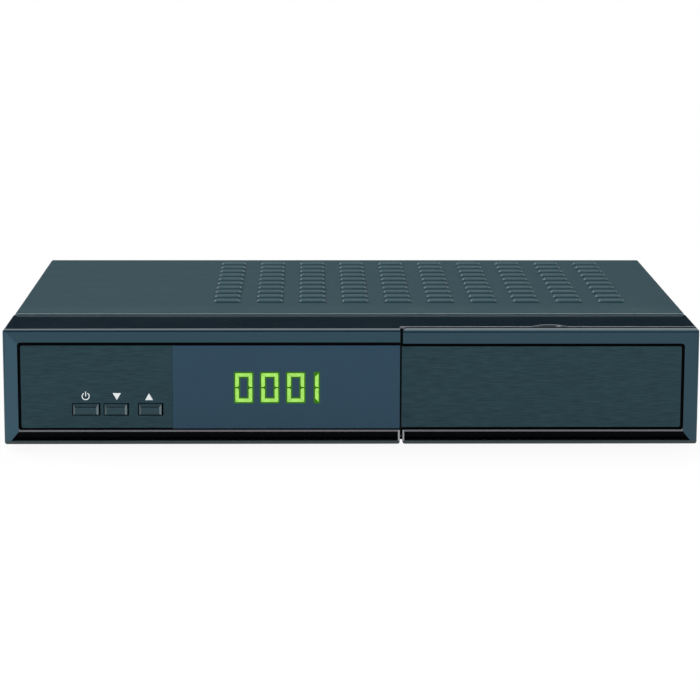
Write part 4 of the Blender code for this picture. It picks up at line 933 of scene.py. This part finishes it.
def hollowTool(b):
    # The room inside the moulding, open at the back and, right of the partition, at the front.
    inner, left = halfWidth - b["sideWall"], seamX - b["partition"]
    wall, partition = frontY + b["frontWall"], frontY + b["partitionDepth"]
    front, back = frontY - overrun, bezelHigh.y + overrun
    return outlinePrism("hollow", [(-inner, wall), (left, wall), (left, partition), (seamX, partition),
                                   (seamX, front), (inner, front), (inner, back), (-inner, back)],
                        "Z", baseZ + b["bottomWall"], topZ - b["deckWall"])


def flapRoomTool(b):
    # The room that the flap fills, with a rounded edge where the deck begins.
    roll, front = b["deckRoll"], frontY - overrun
    edge = arcPoints((roomEnd + roll, topZ - roll), roll, range(180, 104, -15))
    outline = [(front, topZ + overrun), (front, baseZ - overrun), (roomEnd, baseZ - overrun), *edge,
               (roomEnd + roll, topZ + hair), (roomEnd + roll, topZ + overrun)]
    return outlinePrism("flapRoom", outline, "X", seamX, halfWidth + overrun)


def swingTool(b):
    radius, end = b["swingRadius"], halfWidth + overrun
    profile = [(seamX, 0), (seamX, radius), (end, radius), (end, 0)]
    return lathe("swing", "X", (hingeY, hingeZ), profile, 48, None)


def hingeLug(b):
    radius = b["lugRadius"]
    foot, near = baseZ + b["lugFoot"], hingeY + b["swingRadius"]
    far = near + b["lugLength"]
    nose = arcPoints((hingeY, hingeZ), radius, range(90, 271, 12))
    return outlinePrism("lug", [*nose, (near, hingeZ - radius), (near, foot), (far, foot),
                                (far, hingeZ + radius)], "X", *b["lugXs"])


def scoopTool(b):
    # The finger scoop is a round dish with a rolled rim.
    depth, reach, rim, head = b["scoopDepth"], b["scoopReach"], b["scoopRim"], topZ + b["scoopHead"]
    radius = ((b["scoopWidth"] / 2) ** 2 + reach ** 2) / (2 * reach)
    inward = depth + rim * (math.sqrt(2) - 1)
    flare = radius + b["scoopFlare"]
    profile = [(topZ - depth, 0), (topZ - depth, radius - inward),
               *arcPoints((topZ - rim, radius), rim, range(-45, 0, 9)),
               (topZ + 2 * hair, flare), (head, flare), (head, 0)]
    return lathe("scoop", "Z", (scoopX, roomEnd + reach - radius), profile, 128, None)


def keyFace(name):
    # The cap of a key is the part of it in front of the moulding's wall.
    vertices = [v.co for v in nodes[name].data.vertices if v.co.y < frontY + zones["frontDepth"]]
    return [Vector([choose(v[i] for v in vertices) for i in range(3)]) for choose in (min, max)]


keyNames = ("power_key", "down_key", "up_key")


def frontMoulding(b):
    moulding = frontBlock(b, "frontMoulding", (-halfWidth, halfWidth), (frontY, frontY + b["deckDepth"]),
                          [b["corner"]] * 4, b["roll"], b["planCorners"])
    carve(moulding, "UNION", tongueBlock(b))
    carve(moulding, "DIFFERENCE", hollowTool(b), flapRoomTool(b), swingTool(b), lowerBevelTool(b, -1),
          *landTools(b, -1))
    lowRadius, highRadius = b["seamCorners"]
    carve(moulding, "DIFFERENCE", seamCorner(b, baseZ, lowRadius, 1), seamCorner(b, topZ, highRadius, -1))
    recessXs = (-halfWidth + b["sideStrip"], seamX + b["rimReach"])
    corners = (b["recessCorner"], 0, 0, b["recessCorner"])
    carve(moulding, "DIFFERENCE", *panelRecess(b, recessXs, corners, b["topStrip"]))
    ys = (frontY - overrun, frontY + b["holeDepth"])
    holes = [opening(*keyFace(name), gap, ys) for name in keyNames]
    holes += [opening(*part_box(name), b["blockGap"], ys) for name in ("display_housing", "infrared_receiver")]
    carve(moulding, "DIFFERENCE", joined("holes", *holes))
    carve(moulding, "UNION", hingeLug(b))
    carve(moulding, "DIFFERENCE", scoopTool(b))
    dressMoulding(b, moulding, "receiver", "front_bezel", b["roll"])


def flapMoulding(b):
    flap = frontBlock(b, "flapMoulding", (flapLow.x, flapHigh.x), (frontY, flapBack), b["flapCorners"],
                      b["flapRoll"], b["flapPlanCorners"])
    xs = (flapLow.x + b["pocketInset"], flapHigh.x - b["pocketInset"])
    zs = (baseZ + b["pocketFoot"], topZ - b["pocketHead"])
    floor = frontY + b["pocketFloor"]
    outline = roundedOutline(xs, zs, [b["pocketCorner"]] * 4)
    pocket = outlinePrism("pocket", outline, "Y", floor, flapBack + overrun)
    notch = box("notch", (b["lugXs"][0] - gap, b["lugXs"][1] + gap),
                (hingeY - b["lugRadius"] - gap, flapBack + overrun),
                (baseZ - overrun, hingeZ + b["lugRadius"] + b["notchHead"]))
    recessXs = (flapLow.x - overrun, flapHigh.x - b["sideStrip"])
    corners = (0, b["recessCorner"], b["recessCorner"], 0)
    carve(flap, "DIFFERENCE", lowerBevelTool(b, 1), *landTools(b, 1),
          *panelRecess(b, recessXs, corners, b["flapTopStrip"]), pocket, notch)
    dressMoulding(b, flap, "flap", "flap_frame", b["flapRoll"])
    sunk = b["ribSunk"]
    rib = box("rib", around(0, b["ribThickness"] / 2), (floor - sunk, flapBack - b["ribShort"]),
              (zs[0] - sunk, zs[1] + sunk))
    step = (xs[1] - xs[0]) / (b["ribs"] + 1)
    repeatedPiece("flapRibs", rib, "flap", "deckBlack", (b["ribs"], 1, (xs[0] + step, 0, 0)),
                  columnStep=(step, 0, 0))


frontMoulding(bezel)
flapMoulding(bezel)
print("front moulding and flap made")


# Brushed panels, window, keys and printed symbols

panels = {
    "corner": 0.0008,
    "windowGap": 0.00003,
    "fasciaFoot": -0.0002,
    "windowFoot": -0.0005,
    "inlayHead": -0.0004,
    "edge": 0.00008,
    "windowEdge": 0.00016,
    "symbolProud": 0.00004,
    "symbolSunk": 0.00002,
    "symbolLine": 0.00038,
    "powerCentre": (-0.1070, 0.02271),
    "powerRadius": 0.0016,
    "powerGap": 32,
    "powerBar": (-0.0001, 0.00195),
    "arrows": [(-0.0945, 0.02258, 0.0033, -0.00285), (-0.08155, 0.02249, 0.0032, 0.00275)],
}


def plate(name, node, corners, edge, finish, body="receiver", reach=0, foot=0, head=0, holes=()):
    low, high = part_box(node)
    outline = roundedOutline((low.x, high.x + reach), (low.z + foot, high.z + head), corners)
    made = outlinePrism(name, outline, "Y", low.y, high.y)
    if holes:
        carve(made, "DIFFERENCE", joined("holes", *holes))
    finishPiece(soften(made, edge), body, finish, node)


def frontPanels(p):
    corner = p["corner"]
    low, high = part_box("left_fascia")
    holes = [opening(*keyFace(name), gap, (low.y - overrun, high.y + overrun)) for name in keyNames]
    plate("leftFascia", "left_fascia", (corner, 0, 0, corner), p["edge"], "brushed", foot=p["fasciaFoot"],
          reach=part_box("display_window")[0].x - high.x - p["windowGap"], holes=holes)
    plate("smokedWindow", "display_window", (0, 0, 0, 0), p["windowEdge"], "window", foot=p["windowFoot"])
    plate("flapInlay", "flap_inlay", (0, corner, corner, 0), p["edge"], "brushed", "flap",
          head=p["inlayHead"])


def symbols(p):
    # A ring with a gap and a bar, and an arrow down and one up, each (x, z, width, height).
    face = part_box("left_fascia")[0].y
    centre, radius, line, powerGap = p["powerCentre"], p["powerRadius"], p["symbolLine"], p["powerGap"]
    turns = [90 + powerGap + (360 - 2 * powerGap) * step / 40 for step in range(41)]
    ring = arcPoints(centre, radius, turns) + arcPoints(centre, radius - line, turns[::-1])
    bar = roundedOutline(around(centre[0], line / 2), [centre[1] + height for height in p["powerBar"]],
                         [line / 2] * 4, 4)
    arrows = [[(x - w / 2, z - h / 2), (x + w / 2, z - h / 2), (x, z + h / 2)] for x, z, w, h in p["arrows"]]
    marks = [outlinePrism("mark", outline, "Y", face - p["symbolProud"], face + p["symbolSunk"])
             for outline in (ring, bar, *arrows)]
    finishPiece(joined("keySymbols", *marks), "receiver", "print")


keys = {
    "inset": (0.0001, 0.0004),
    "endChamfer": 0.0008,
    "topChamfer": 0.0012,
    "lowChamfer": 0.0004,
    "chamferDepth": 0.0007,
    "edge": 0.00012,
    "endLean": (0.35, -0.3),
    "topLean": (0.03, 0.46, -0.5),
}


def pushKey(k, name):
    low, high = keyFace(name)
    left, right = low.x + k["inset"][0], high.x - k["inset"][1]
    mesh = bmesh.new()
    rings = []
    for y, end, top, foot in ((low.y, k["endChamfer"], k["topChamfer"], k["lowChamfer"]),
                              (low.y + k["chamferDepth"], 0, 0, 0), (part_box(name)[1].y, 0, 0, 0)):
        corners = [(left + end, low.z + foot), (right - end, low.z + foot), (right - end, high.z - top),
                   (left + end, high.z - top)]
        rings.append([mesh.verts.new((x, y, z)) for x, z in corners])
    mesh.faces.new(rings[0])
    mesh.faces.new(rings[-1])
    for ring, following in zip(rings, rings[1:]):
        bridge(mesh, ring, following)
    cap = soften(addSolid(name.replace("_key", "Key"), mesh), k["edge"], 3, 20)
    # Slots: cap, right end, top chamfer and left end. The right end is a painted highlight, the left end a
    # weaker painted highlight and the top chamfer painted shade.
    finishPiece(cap, name, ["keySatin", "keyEdge", "bevelBlack", "keyShade"], name)
    (endLean, endFacing), (low, high, topFacing) = k["endLean"], k["topLean"]
    for face in cap.data.polygons:
        across, forward, upward = face.normal
        if abs(across) > endLean and forward < endFacing:
            face.material_index = 1 if across > 0 else 3
        elif low < upward < high and forward < topFacing:
            face.material_index = 2


frontPanels(panels)
symbols(panels)
for keyName in keyNames:
    pushKey(keys, keyName)
print("panels, symbols and keys made")


# Display: lit digits inlaid in the window's front face

display = {
    "digitWidth": 0.0068,
    "digitHeight": 0.0118,
    "stroke": 0.00142,
    "seam": 0.00010,
    "seamSlant": 1.4,
    "midGap": 0.00055,
    "pitch": 0.01047,
    "firstLeft": -0.0468,
    "centreZ": 0.0262,
    "oneInset": 0.0007,
    "cut": 0.0005,
    "halo": 0.0006,
    "inlay": 0.00005,
    "litProud": 0.00004,
    "haloProud": 0.000004,
    "digits": "0001",
    "segments": {"0": "abcdef", "1": "bc"},
}


def segmentOutline(kind, d):
    # One lit bar of a digit, from the digit's lower left corner, with mitred ends.
    w, h, s, g = d["digitWidth"], d["digitHeight"], d["stroke"], d["seam"] / 2
    mid, half, cut, slant = h / 2, d["midGap"] / 2, d["cut"], g * d["seamSlant"]
    if kind in "ad":
        z, way = (h, -1) if kind == "a" else (0, 1)
        return [(slant, z), (w - slant, z), (w - s - g, z + way * s), (s + g, z + way * s)]
    x, way = (w, -1) if kind in "bc" else (0, 1)
    outline = [(x, mid + half), (x + way * (s - cut), mid + half), (x + way * s, mid + half + cut),
               (x + way * s, h - s - g), (x, h - slant)]
    return outline if kind in "bf" else [(px, h - pz) for px, pz in outline]


def displayPieces(d):
    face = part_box("display_window")[0].y
    inlaid = face + d["inlay"]
    foot, stroke, width = d["centreZ"] - d["digitHeight"] / 2, d["stroke"], d["digitWidth"]
    head = foot + d["digitHeight"]
    bars, halos = [], []
    for place, digit in enumerate(d["digits"]):
        left = d["firstLeft"] + place * d["pitch"]
        if digit == "1":
            left -= width - d["oneInset"] - stroke
            halos.append(((left + width - stroke, left + width), (foot, head)))
        else:
            right = left + width
            halos += [((left, right), (foot, foot + stroke)), ((left, right), (head - stroke, head)),
                      ((left, left + stroke), (foot, head)), ((right - stroke, right), (foot, head))]
        for kind in d["segments"][digit]:
            outline = [(left + x, foot + z) for x, z in segmentOutline(kind, d)]
            bars.append(outlinePrism("bar", outline, "Y", face - d["litProud"], inlaid))
    finishPiece(joined("litDigits", *bars), "receiver", "lit", "display_light_panel")
    grow = d["halo"]
    glows = []
    for index, (xs, zs) in enumerate(halos):
        outline = roundedOutline((xs[0] - grow, xs[1] + grow), (zs[0] - grow, zs[1] + grow), [grow] * 4, 3)
        glows.append(outlinePrism("glow", outline, "Y", face - d["haloProud"] * (1 + index % 4), inlaid))
    finishPiece(joined("digitGlow", *glows), "receiver", "glow")


displayPieces(display)
print("display made")


# Feet, screws, sockets and switch marks. Profiles are (place along the axis, radius) pairs.

hardware = {
    "foot": [(0.0003, 0), (0.0003, 0.0030), (0, 0.0034), (0, 0.0054), (0.0005, 0.0057), (0.0005, 0.0062),
             (0, 0.0065), (0, 0.0070), (0.0010, 0.0080), (0.0030, 0.0080), (0.0030, 0)],
    "screw": [(-0.0040, 0), (-0.0040, 0.0013), (0, 0.0013), (0, 0.0027), (0.0003, 0.0027), (0.0006, 0.0024),
              (0.0008, 0.0017), (0.00088, 0.0008), (0.00088, 0)],
    "cross": (0.0030, 0.0006, 0.0006, 0.001),
    "barrelRadius": 0.00435,
    "barrelBore": (0.0036, 0.0030),
    "barrelChamfer": 0.0003,
    "collarRadius": 0.0056,
    "collarDepth": 0.0012,
    "nut": (0.0062, 0.0001, 0.0017),
    "nutEdge": 0.0003,
    "thread": [(-0.00035, 0.0042), (0, 0.0047), (0.00035, 0.0042)],
    "threads": 9,
    "threadPitch": 0.0008,
    "threadStart": 0.0023,
    "insulator": [(-0.0029, 0.0007), (-0.0029, 0.0036), (-0.0004, 0.0036), (-0.0004, 0.0007)],
    "jackZs": (0.0208, 0.0343),
    "jackSleeve": [(0.0002, 0.0034), (0.0002, 0.0042), (0.0079, 0.0042), (0.0082, 0.0040), (0.0082, 0.0034)],
    "jackInsert": [(0.0070, 0.0017), (0.0070, 0.0035), (0.00805, 0.0035), (0.00805, 0.0017)],
    "jackCollar": [(0.0001, 0.0041), (0.0001, 0.0056), (0.0010, 0.0056), (0.0013, 0.0053), (0.0013, 0.0041)],
    "tongueInset": 0.0014,
    "tongueSkin": 0.00006,
    "tongueHalf": 0.0005,
    "tongueReach": (0.001, 0.0089),
    "tongueEdge": 0.00012,
    "contactReach": (0.0016, 0.0080),
    "contactProud": 0.00003,
    # Each socket's contacts: name, way inward, number in a row, pitch, width and number of rows.
    "contacts": {"hdmi_socket": ("video", -1, 10, 0.0011, 0.00045, 2),
                 "rear_usb_socket": ("rearUsb", -1, 4, 0.0025, 0.0011, 1),
                 "front_usb_socket": ("frontUsb", 1, 4, 0.0025, 0.0011, 1)},
    "scartCore": (0.0016, 0.0100, 0.0052, 0.00025),
    "scartBlade": (0.0011, 0.0034, 10),
    "inletPin": [(-0.0112, 0), (-0.0112, 0.00125), (-0.0024, 0.00125), (-0.0021, 0.0011), (-0.00195, 0.0007),
                 (-0.0019, 0)],
    "inletPitch": 0.0086,
    "door": (0.0058, 0.0009, 0.0016),
    "doorPull": (0.0029, 0.00145, 0.00203, 0.0002, 0.0003),
    "rockerPivot": (-0.0854, 0.0915, 0.0275),
    "rockerTilt": 12,
    "rockerEnd": (0.0086, 0.0024),
    "rockerMiddle": 0.0006,
    "markDepths": (-0.0001, 0.00004),
    "markRing": (0.0015, 0.0010),
    "markBar": (0.0014, 0.0003),
    "cardCentre": (0.0580, 0.0330),
    "cardFrame": (0.0602, 0.0062, 0.0566, 0.0030),
    "usbFrame": (0.0156, 0.0084, 0.0138, 0.0064),
    "frameCorner": 0.0012,
    "frameDepths": (-0.0005, 0.0001),
    "partEdge": 0.00015,
}


def middle(node):
    low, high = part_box(node)
    return (low + high) / 2


def shifted(profile, along):
    return [(along + place, radius) for place, radius in profile]


def rubberFeet(h):
    first, last = middle("foot_front_left"), middle("foot_rear_right")
    foot = lathe("foot", "Z", (0, 0), h["foot"], 40)
    repeatedPiece("rubberFeet", foot, "receiver", "rubber", (2, 2, (first.x, first.y, 0)), "foot_front_left",
                  "foot_front_right", "foot_rear_left", "foot_rear_right",
                  columnStep=(last.x - first.x, 0, 0), rowStep=(0, last.y - first.y, 0))


def crossScrew(h):
    # A low pan head with a cross recess, standing on its seat and facing up.
    long, narrow, depth, rise = h["cross"]
    top = h["screw"][-1][0]
    cross = [box("slot", around(0, x / 2), around(0, y / 2), (top - depth, top + rise))
             for x, y in ((long, narrow), (narrow, long))]
    return carve(lathe("screw", "Z", (0, 0), h["screw"], 28, 30), "DIFFERENCE", *cross)


def screws(h):
    top = h["screw"][-1][0]
    front, rear = middle("cover_screw_front_left"), middle("cover_screw_rear_left")
    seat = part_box("cover_screw_front_right")[1].x - top
    sides = [repeated("sideScrews", crossScrew(h), "brightSteel", 1, 2, (side * seat, front.y, front.z),
                      rowStep=(0, rear.y - front.y, 0), turn=(0, side * math.pi / 2, 0)) for side in (-1, 1)]
    finishPiece(joined("coverScrews", *sides), "receiver", "brightSteel", "cover_screw_front_left",
                "cover_screw_front_right", "cover_screw_rear_left", "cover_screw_rear_right")
    left, right = middle("rear_panel_screw_left"), middle("rear_panel_screw_right")
    start = (left.x, left.y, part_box("rear_panel_screw_left")[0].z + top)
    repeatedPiece("panelScrews", crossScrew(h), "receiver", "brightSteel", (2, 1, start),
                  "rear_panel_screw_left", "rear_panel_screw_right", columnStep=(right.x - left.x, 0, 0),
                  turn=(math.pi, 0, 0))


def aerialConnectors(h):
    low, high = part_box("lnb_in_connector")
    first, second = middle("lnb_in_connector"), middle("lnb_out_connector")
    grid, step = (2, 1, (first.x, 0, first.z)), (second.x - first.x, 0, 0)
    r, (bore, depth), chamfer = h["barrelRadius"], h["barrelBore"], h["barrelChamfer"]
    collar, inner = h["collarRadius"], rearY - h["collarDepth"]
    barrel = lathe("barrel", "Y", (0, 0), [
        (low.y, 0), (low.y, collar), (inner, collar), (inner, r), (high.y - chamfer, r),
        (high.y, r - chamfer), (high.y, bore), (high.y - depth, bore), (high.y - depth, 0)], 40)
    radius, near, far = h["nut"]
    nut = outlinePrism("nut", arcPoints((0, 0), radius, range(0, 360, 60)), "Y", rearY + near, rearY + far)
    repeatedPiece("aerialConnectors", joined("connector", barrel, soften(nut, h["nutEdge"])), "receiver",
                  "brightSteel", grid, "lnb_in_connector", "lnb_out_connector", columnStep=step)
    thread = lathe("thread", "Y", (0, 0), h["thread"], 40, ring=True)
    repeatedPiece("aerialThreads", thread, "receiver", "brightSteel",
                  (2, h["threads"], (first.x, rearY + h["threadStart"], first.z)), columnStep=step,
                  rowStep=(0, h["threadPitch"], 0))
    insulator = lathe("insulator", "Y", (0, 0), shifted(h["insulator"], high.y), 40, ring=True)
    repeatedPiece("aerialInsulators", insulator, "receiver", "whitePlastic", grid, columnStep=step)


def audioJacks(h):
    x = middle("audio_jack_block").x
    low, high = h["jackZs"]
    sleeve = lathe("sleeve", "Y", (0, 0), shifted(h["jackSleeve"], rearY), 40, ring=True)
    repeatedPiece("jackSleeves", sleeve, "receiver", "brightSteel", (1, 2, (x, 0, low)),
                  rowStep=(0, 0, high - low))
    for name, z, finish in (("redJack", low, "redPlastic"), ("whiteJack", high, "whitePlastic")):
        rings = [lathe("ring", "Y", (x, z), shifted(h[part], rearY), 40, ring=True)
                 for part in ("jackInsert", "jackCollar")]
        finishPiece(joined(name, *rings), "receiver", finish)


def contactTongues(h):
    # A dark tongue with gold contacts lies over the metal one in each cage socket.
    skin = h["tongueSkin"]
    thick = h["tongueHalf"] + skin
    for node, (name, inward, count, pitch, width, faces) in h["contacts"].items():
        (low, high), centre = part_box(node), middle(node)
        mouth = high.y if inward < 0 else low.y
        half = (high.x - low.x) / 2 - h["tongueInset"] + skin
        near, far = h["tongueReach"]
        sleeve = box(name + "Tongue", around(centre.x, half),
                     sorted((mouth + inward * (near - skin), mouth + inward * far)), around(centre.z, thick))
        finishPiece(soften(sleeve, h["tongueEdge"]), "receiver", "blackPlastic")
        contact = box("contact", around(0, width / 2),
                      sorted(mouth + inward * reach for reach in h["contactReach"]),
                      around(0, h["contactProud"]))
        start = (centre.x - pitch * (count - 1) / 2, 0, centre.z - thick)
        repeatedPiece(name + "Contacts", contact, "receiver", "gold", (count, faces, start),
                      columnStep=(pitch, 0, 0), rowStep=(0, 0, 2 * thick))


def scartContacts(h):
    first, second = middle("scart_tv_socket"), middle("scart_vcr_socket")
    near, far, height, proud = h["scartCore"]
    width, pitch, count = h["scartBlade"]
    blades = [box("blade", around(0, width / 2), (rearY - far, rearY - near),
                  sorted((side * height / 2, side * (height / 2 + proud)))) for side in (-1, 1)]
    start = (first.x - pitch * (count - 1) / 2, 0, first.z)
    repeatedPiece("scartContacts", joined("blades", *blades), "receiver", "brightSteel", (count, 2, start),
                  columnStep=(pitch, 0, 0), rowStep=(0, 0, second.z - first.z))


def inletPins(h):
    centre, pitch = middle("mains_inlet"), h["inletPitch"]
    pin = lathe("pin", "Y", (0, 0), shifted(h["inletPin"], rearY), 28)
    repeatedPiece("inletPins", pin, "receiver", "brightSteel", (2, 1, (centre.x - pitch / 2, 0, centre.z)),
                  columnStep=(pitch, 0, 0))


def opticalDoor(h):
    centre, (size, near, far) = middle("spdif_socket"), h["door"]
    width, high, low, proud, sunk = h["doorPull"]
    door = box("opticalDoor", around(centre.x, size / 2), (rearY - far, rearY - near),
               around(centre.z, size / 2))
    pull = box("pull", around(centre.x, width / 2), (rearY - near - proud, rearY - near + sunk),
               (centre.z - low, centre.z - high))
    finishPiece(soften(carve(door, "UNION", pull), h["partEdge"]), "receiver", "chip")


def rockerMarks(h):
    # A ring on one half of the rocker and a bar on the other, on its sloping faces and turned with it.
    pivotX, pivotY, pivotZ = h["rockerPivot"]
    cosine, sine = math.cos(math.radians(h["rockerTilt"])), math.sin(math.radians(h["rockerTilt"]))
    (endX, endY), middleY = h["rockerEnd"], h["rockerMiddle"]

    def onFace(side, along, up, proud):
        x, y = side * along, middleY + (endY - middleY) * along / endX + proud
        return (pivotX + x * cosine - y * sine, pivotY + x * sine + y * cosine, pivotZ + up)

    circles = [arcPoints((endX / 2, 0), radius, range(0, 360, 15)) for radius in h["markRing"]]
    long, narrow = h["markBar"]
    left, right = around(endX / 2, long)
    bar = [(left, -narrow), (right, -narrow), (right, narrow), (left, narrow)]
    marks = []
    for side, loops in ((-1, circles), (1, [bar])):
        mesh = bmesh.new()
        low, high = [[[mesh.verts.new(onFace(side, *pair, proud)) for pair in loop] for loop in loops]
                     for proud in h["markDepths"]]
        for layer in (low, high):
            if len(layer) == 1:
                mesh.faces.new(layer[0])
            else:
                bridge(mesh, *layer)
        for lower, upper in zip(low, high):
            bridge(mesh, lower, upper)
        marks.append(addSolid("mark", mesh))
    finishPiece(joined("rockerMarks", *marks), "power_rocker", "print")


def slotFrames(h):
    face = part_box("inner_fascia")[0].y
    usb = middle("front_usb_socket")
    for name, (x, z) in (("cardFrame", h["cardCentre"]), ("usbFrame", (usb.x, usb.z))):
        outerX, outerZ, innerX, innerZ = h[name]
        outline = roundedOutline(around(x, outerX / 2), around(z, outerZ / 2), [h["frameCorner"]] * 4)
        surround = outlinePrism(name, outline, "Y", *(face + depth for depth in h["frameDepths"]))
        hole = box("hole", around(x, innerX / 2), around(face, overrun), around(z, innerZ / 2))
        finishPiece(soften(carve(surround, "DIFFERENCE", hole), h["partEdge"]), "receiver", "deckBlack")


for make in (rubberFeet, screws, aerialConnectors, audioJacks, contactTongues, scartContacts, inletPins,
             opticalDoor, rockerMarks, slotFrames):
    make(hardware)
print("feet, screws and sockets made")


# What stays as it was packed gets its finish

dressed = {
    "platedSteel": ["card_reader", "front_usb_socket", "hdmi_socket", "rear_usb_socket", "chassis_base"],
    "brightSteel": ["tuner_can", "main_board_screw_front", "main_board_screw_rear", "power_board_screw_front",
                    "power_board_screw_rear"],
    "blackSteel": ["rear_panel", "flap_pin_left", "flap_pin_right"],
    "blackPlastic": ["inner_fascia", "display_housing", "power_switch", "down_switch", "up_switch",
                     "spdif_socket", "audio_jack_block", "scart_tv_socket", "scart_vcr_socket", "mains_inlet",
                     "rocker_housing", "power_rocker"],
    "chip": ["infrared_receiver", "processor", "mains_capacitor"],
    "greenBoard": ["front_board", "main_board", "power_board"],
    "aluminium": ["processor_heatsink", "power_heatsink"],
    "coil": ["transformer"],
    "ribbon": ["front_ribbon_cable"],
    "whitePlastic": ["power_harness", "switch_wires"],
}
for finish, names in dressed.items():
    for name in names:
        for slot in nodes[name].material_slots:
            slot.material = finishes[finish]
print("packed pieces dressed")


# Floor, light and camera

def seenMix(tree, plain, seen, share=1.0):
    # A ray from the camera, by reflection or through glass meets the seen shader, any other the plain one.
    path = addNode(tree, "ShaderNodeLightPath").outputs
    direct = maths(tree, "MAXIMUM", path["Is Camera Ray"], path["Is Glossy Ray"])
    either = maths(tree, "MAXIMUM", direct, path["Is Transmission Ray"])
    factor = maths(tree, "MULTIPLY", either, share)
    return addNode(tree, "ShaderNodeMixShader", {0: factor, 1: plain, 2: seen})


def paperFinish(s):
    paper, tree, shader = newMaterial("paper", {"Base Color": (*s["floorColour"], 1), "Roughness": 0.9,
                                                "Specular IOR Level": 0.1})
    where = addNode(tree, "ShaderNodeTexCoord").outputs["Object"]
    reach = addNode(tree, "ShaderNodeVectorMath", {0: where}, operation="LENGTH").outputs["Value"]
    (near, far), (dim, bright) = s["floorFade"], s["floorGlow"]
    fade = addNode(tree, "ShaderNodeMapRange", {
        "Value": reach, "From Min": near, "From Max": far, "To Min": dim, "To Max": bright},
        interpolation_type="SMOOTHSTEP")
    glow = addNode(tree, "ShaderNodeEmission", {"Color": (1, 1, 1, 1)})
    feed(tree, tree.nodes["Material Output"], {"Surface": seenMix(tree, shader, glow, fade)})
    return paper


def darkCurtain(s):
    # A dark curtain all round, above the floor's edge, which only reflections see.
    mesh = bmesh.new()
    low, high = [], []
    for side in range(s["curtainSides"]):
        angle = math.tau * side / s["curtainSides"]
        x, y = s["curtainRadius"] * math.cos(angle), s["curtainRadius"] * math.sin(angle)
        top = s["curtainRear"] + (s["curtainFront"] - s["curtainRear"]) * (1 - math.sin(angle)) / 2
        low.append(mesh.verts.new((x, y, s["curtainLow"])))
        high.append(mesh.verts.new((x, y, top)))
    bridge(mesh, high, low)
    curtain = addObject("curtain", mesh)
    curtain.data.materials.append(newMaterial("curtainCloth", {
        "Base Color": (0, 0, 0, 1), "Specular IOR Level": 0, "Emission Color": (*s["curtainColour"], 1),
        "Emission Strength": 1})[0])
    curtain.visible_camera = False
    curtain.visible_diffuse = False
    curtain.visible_transmission = False
    curtain.visible_shadow = False
    return curtain


def studio(s):
    mesh = bmesh.new()
    bmesh.ops.create_grid(mesh, x_segments=1, y_segments=1, size=s["floorSize"])
    floor = addObject("floor", mesh)
    floor.data.transform(Matrix.Translation((0, 0, -s["floorDrop"])))
    floor.data.materials.append(paperFinish(s))
    darkCurtain(s)

    world = bpy.data.worlds.new("studio")
    bpy.context.scene.world = world
    world.use_nodes = True
    tree = world.node_tree
    colour = (*s["skySeen"], 1)
    sky = feed(tree, tree.nodes["Background"], {"Color": colour, "Strength": s["skyLevel"]})
    seen = addNode(tree, "ShaderNodeBackground", {"Color": colour})
    feed(tree, tree.nodes["World Output"], {"Surface": seenMix(tree, sky, seen)})
    world.cycles.sampling_method = "NONE"

    for name, settings in s["lamps"].items():
        lamp = bpy.data.lights.new(name, "AREA")
        lamp.shape = "RECTANGLE"
        lamp.size, lamp.size_y = settings["size"]
        lamp.energy = settings["power"]
        stand = linked(bpy.data.objects.new(name, lamp))
        stand.location = settings["place"]
        stand.rotation_mode = "QUATERNION"
        aim = Vector(s["aim"]) - Vector(settings["place"])
        stand.rotation_quaternion = aim.to_track_quat("-Z", "Y")
        stand.visible_glossy = settings["glossy"]


def addCamera(c):
    lens = bpy.data.cameras.new("camera")
    lens.sensor_width = c["sensor"]
    lens.lens = c["focalPixels"] * c["sensor"] / c["imagePixels"]
    lens.clip_start, lens.clip_end = 0.01, 100
    made = linked(bpy.data.objects.new("camera", lens))
    pitch, yaw, roll = (math.radians(c[word]) for word in ("pitch", "yaw", "roll"))
    forward = Vector((math.sin(yaw) * math.cos(pitch), math.cos(yaw) * math.cos(pitch), -math.sin(pitch)))
    right = Vector((math.cos(yaw), -math.sin(yaw), 0))
    up = right.cross(forward)
    across = right * math.cos(roll) + up * math.sin(roll)
    upright = up * math.cos(roll) - right * math.sin(roll)
    turned = Matrix((across, upright, -forward)).transposed()
    made.matrix_world = Matrix.Translation(c["place"]) @ turned.to_4x4()
    bpy.context.scene.camera = made


studio(lighting)
addCamera(camera)
bpy.context.scene.view_settings.view_transform = "Standard"
print("studio and camera set")
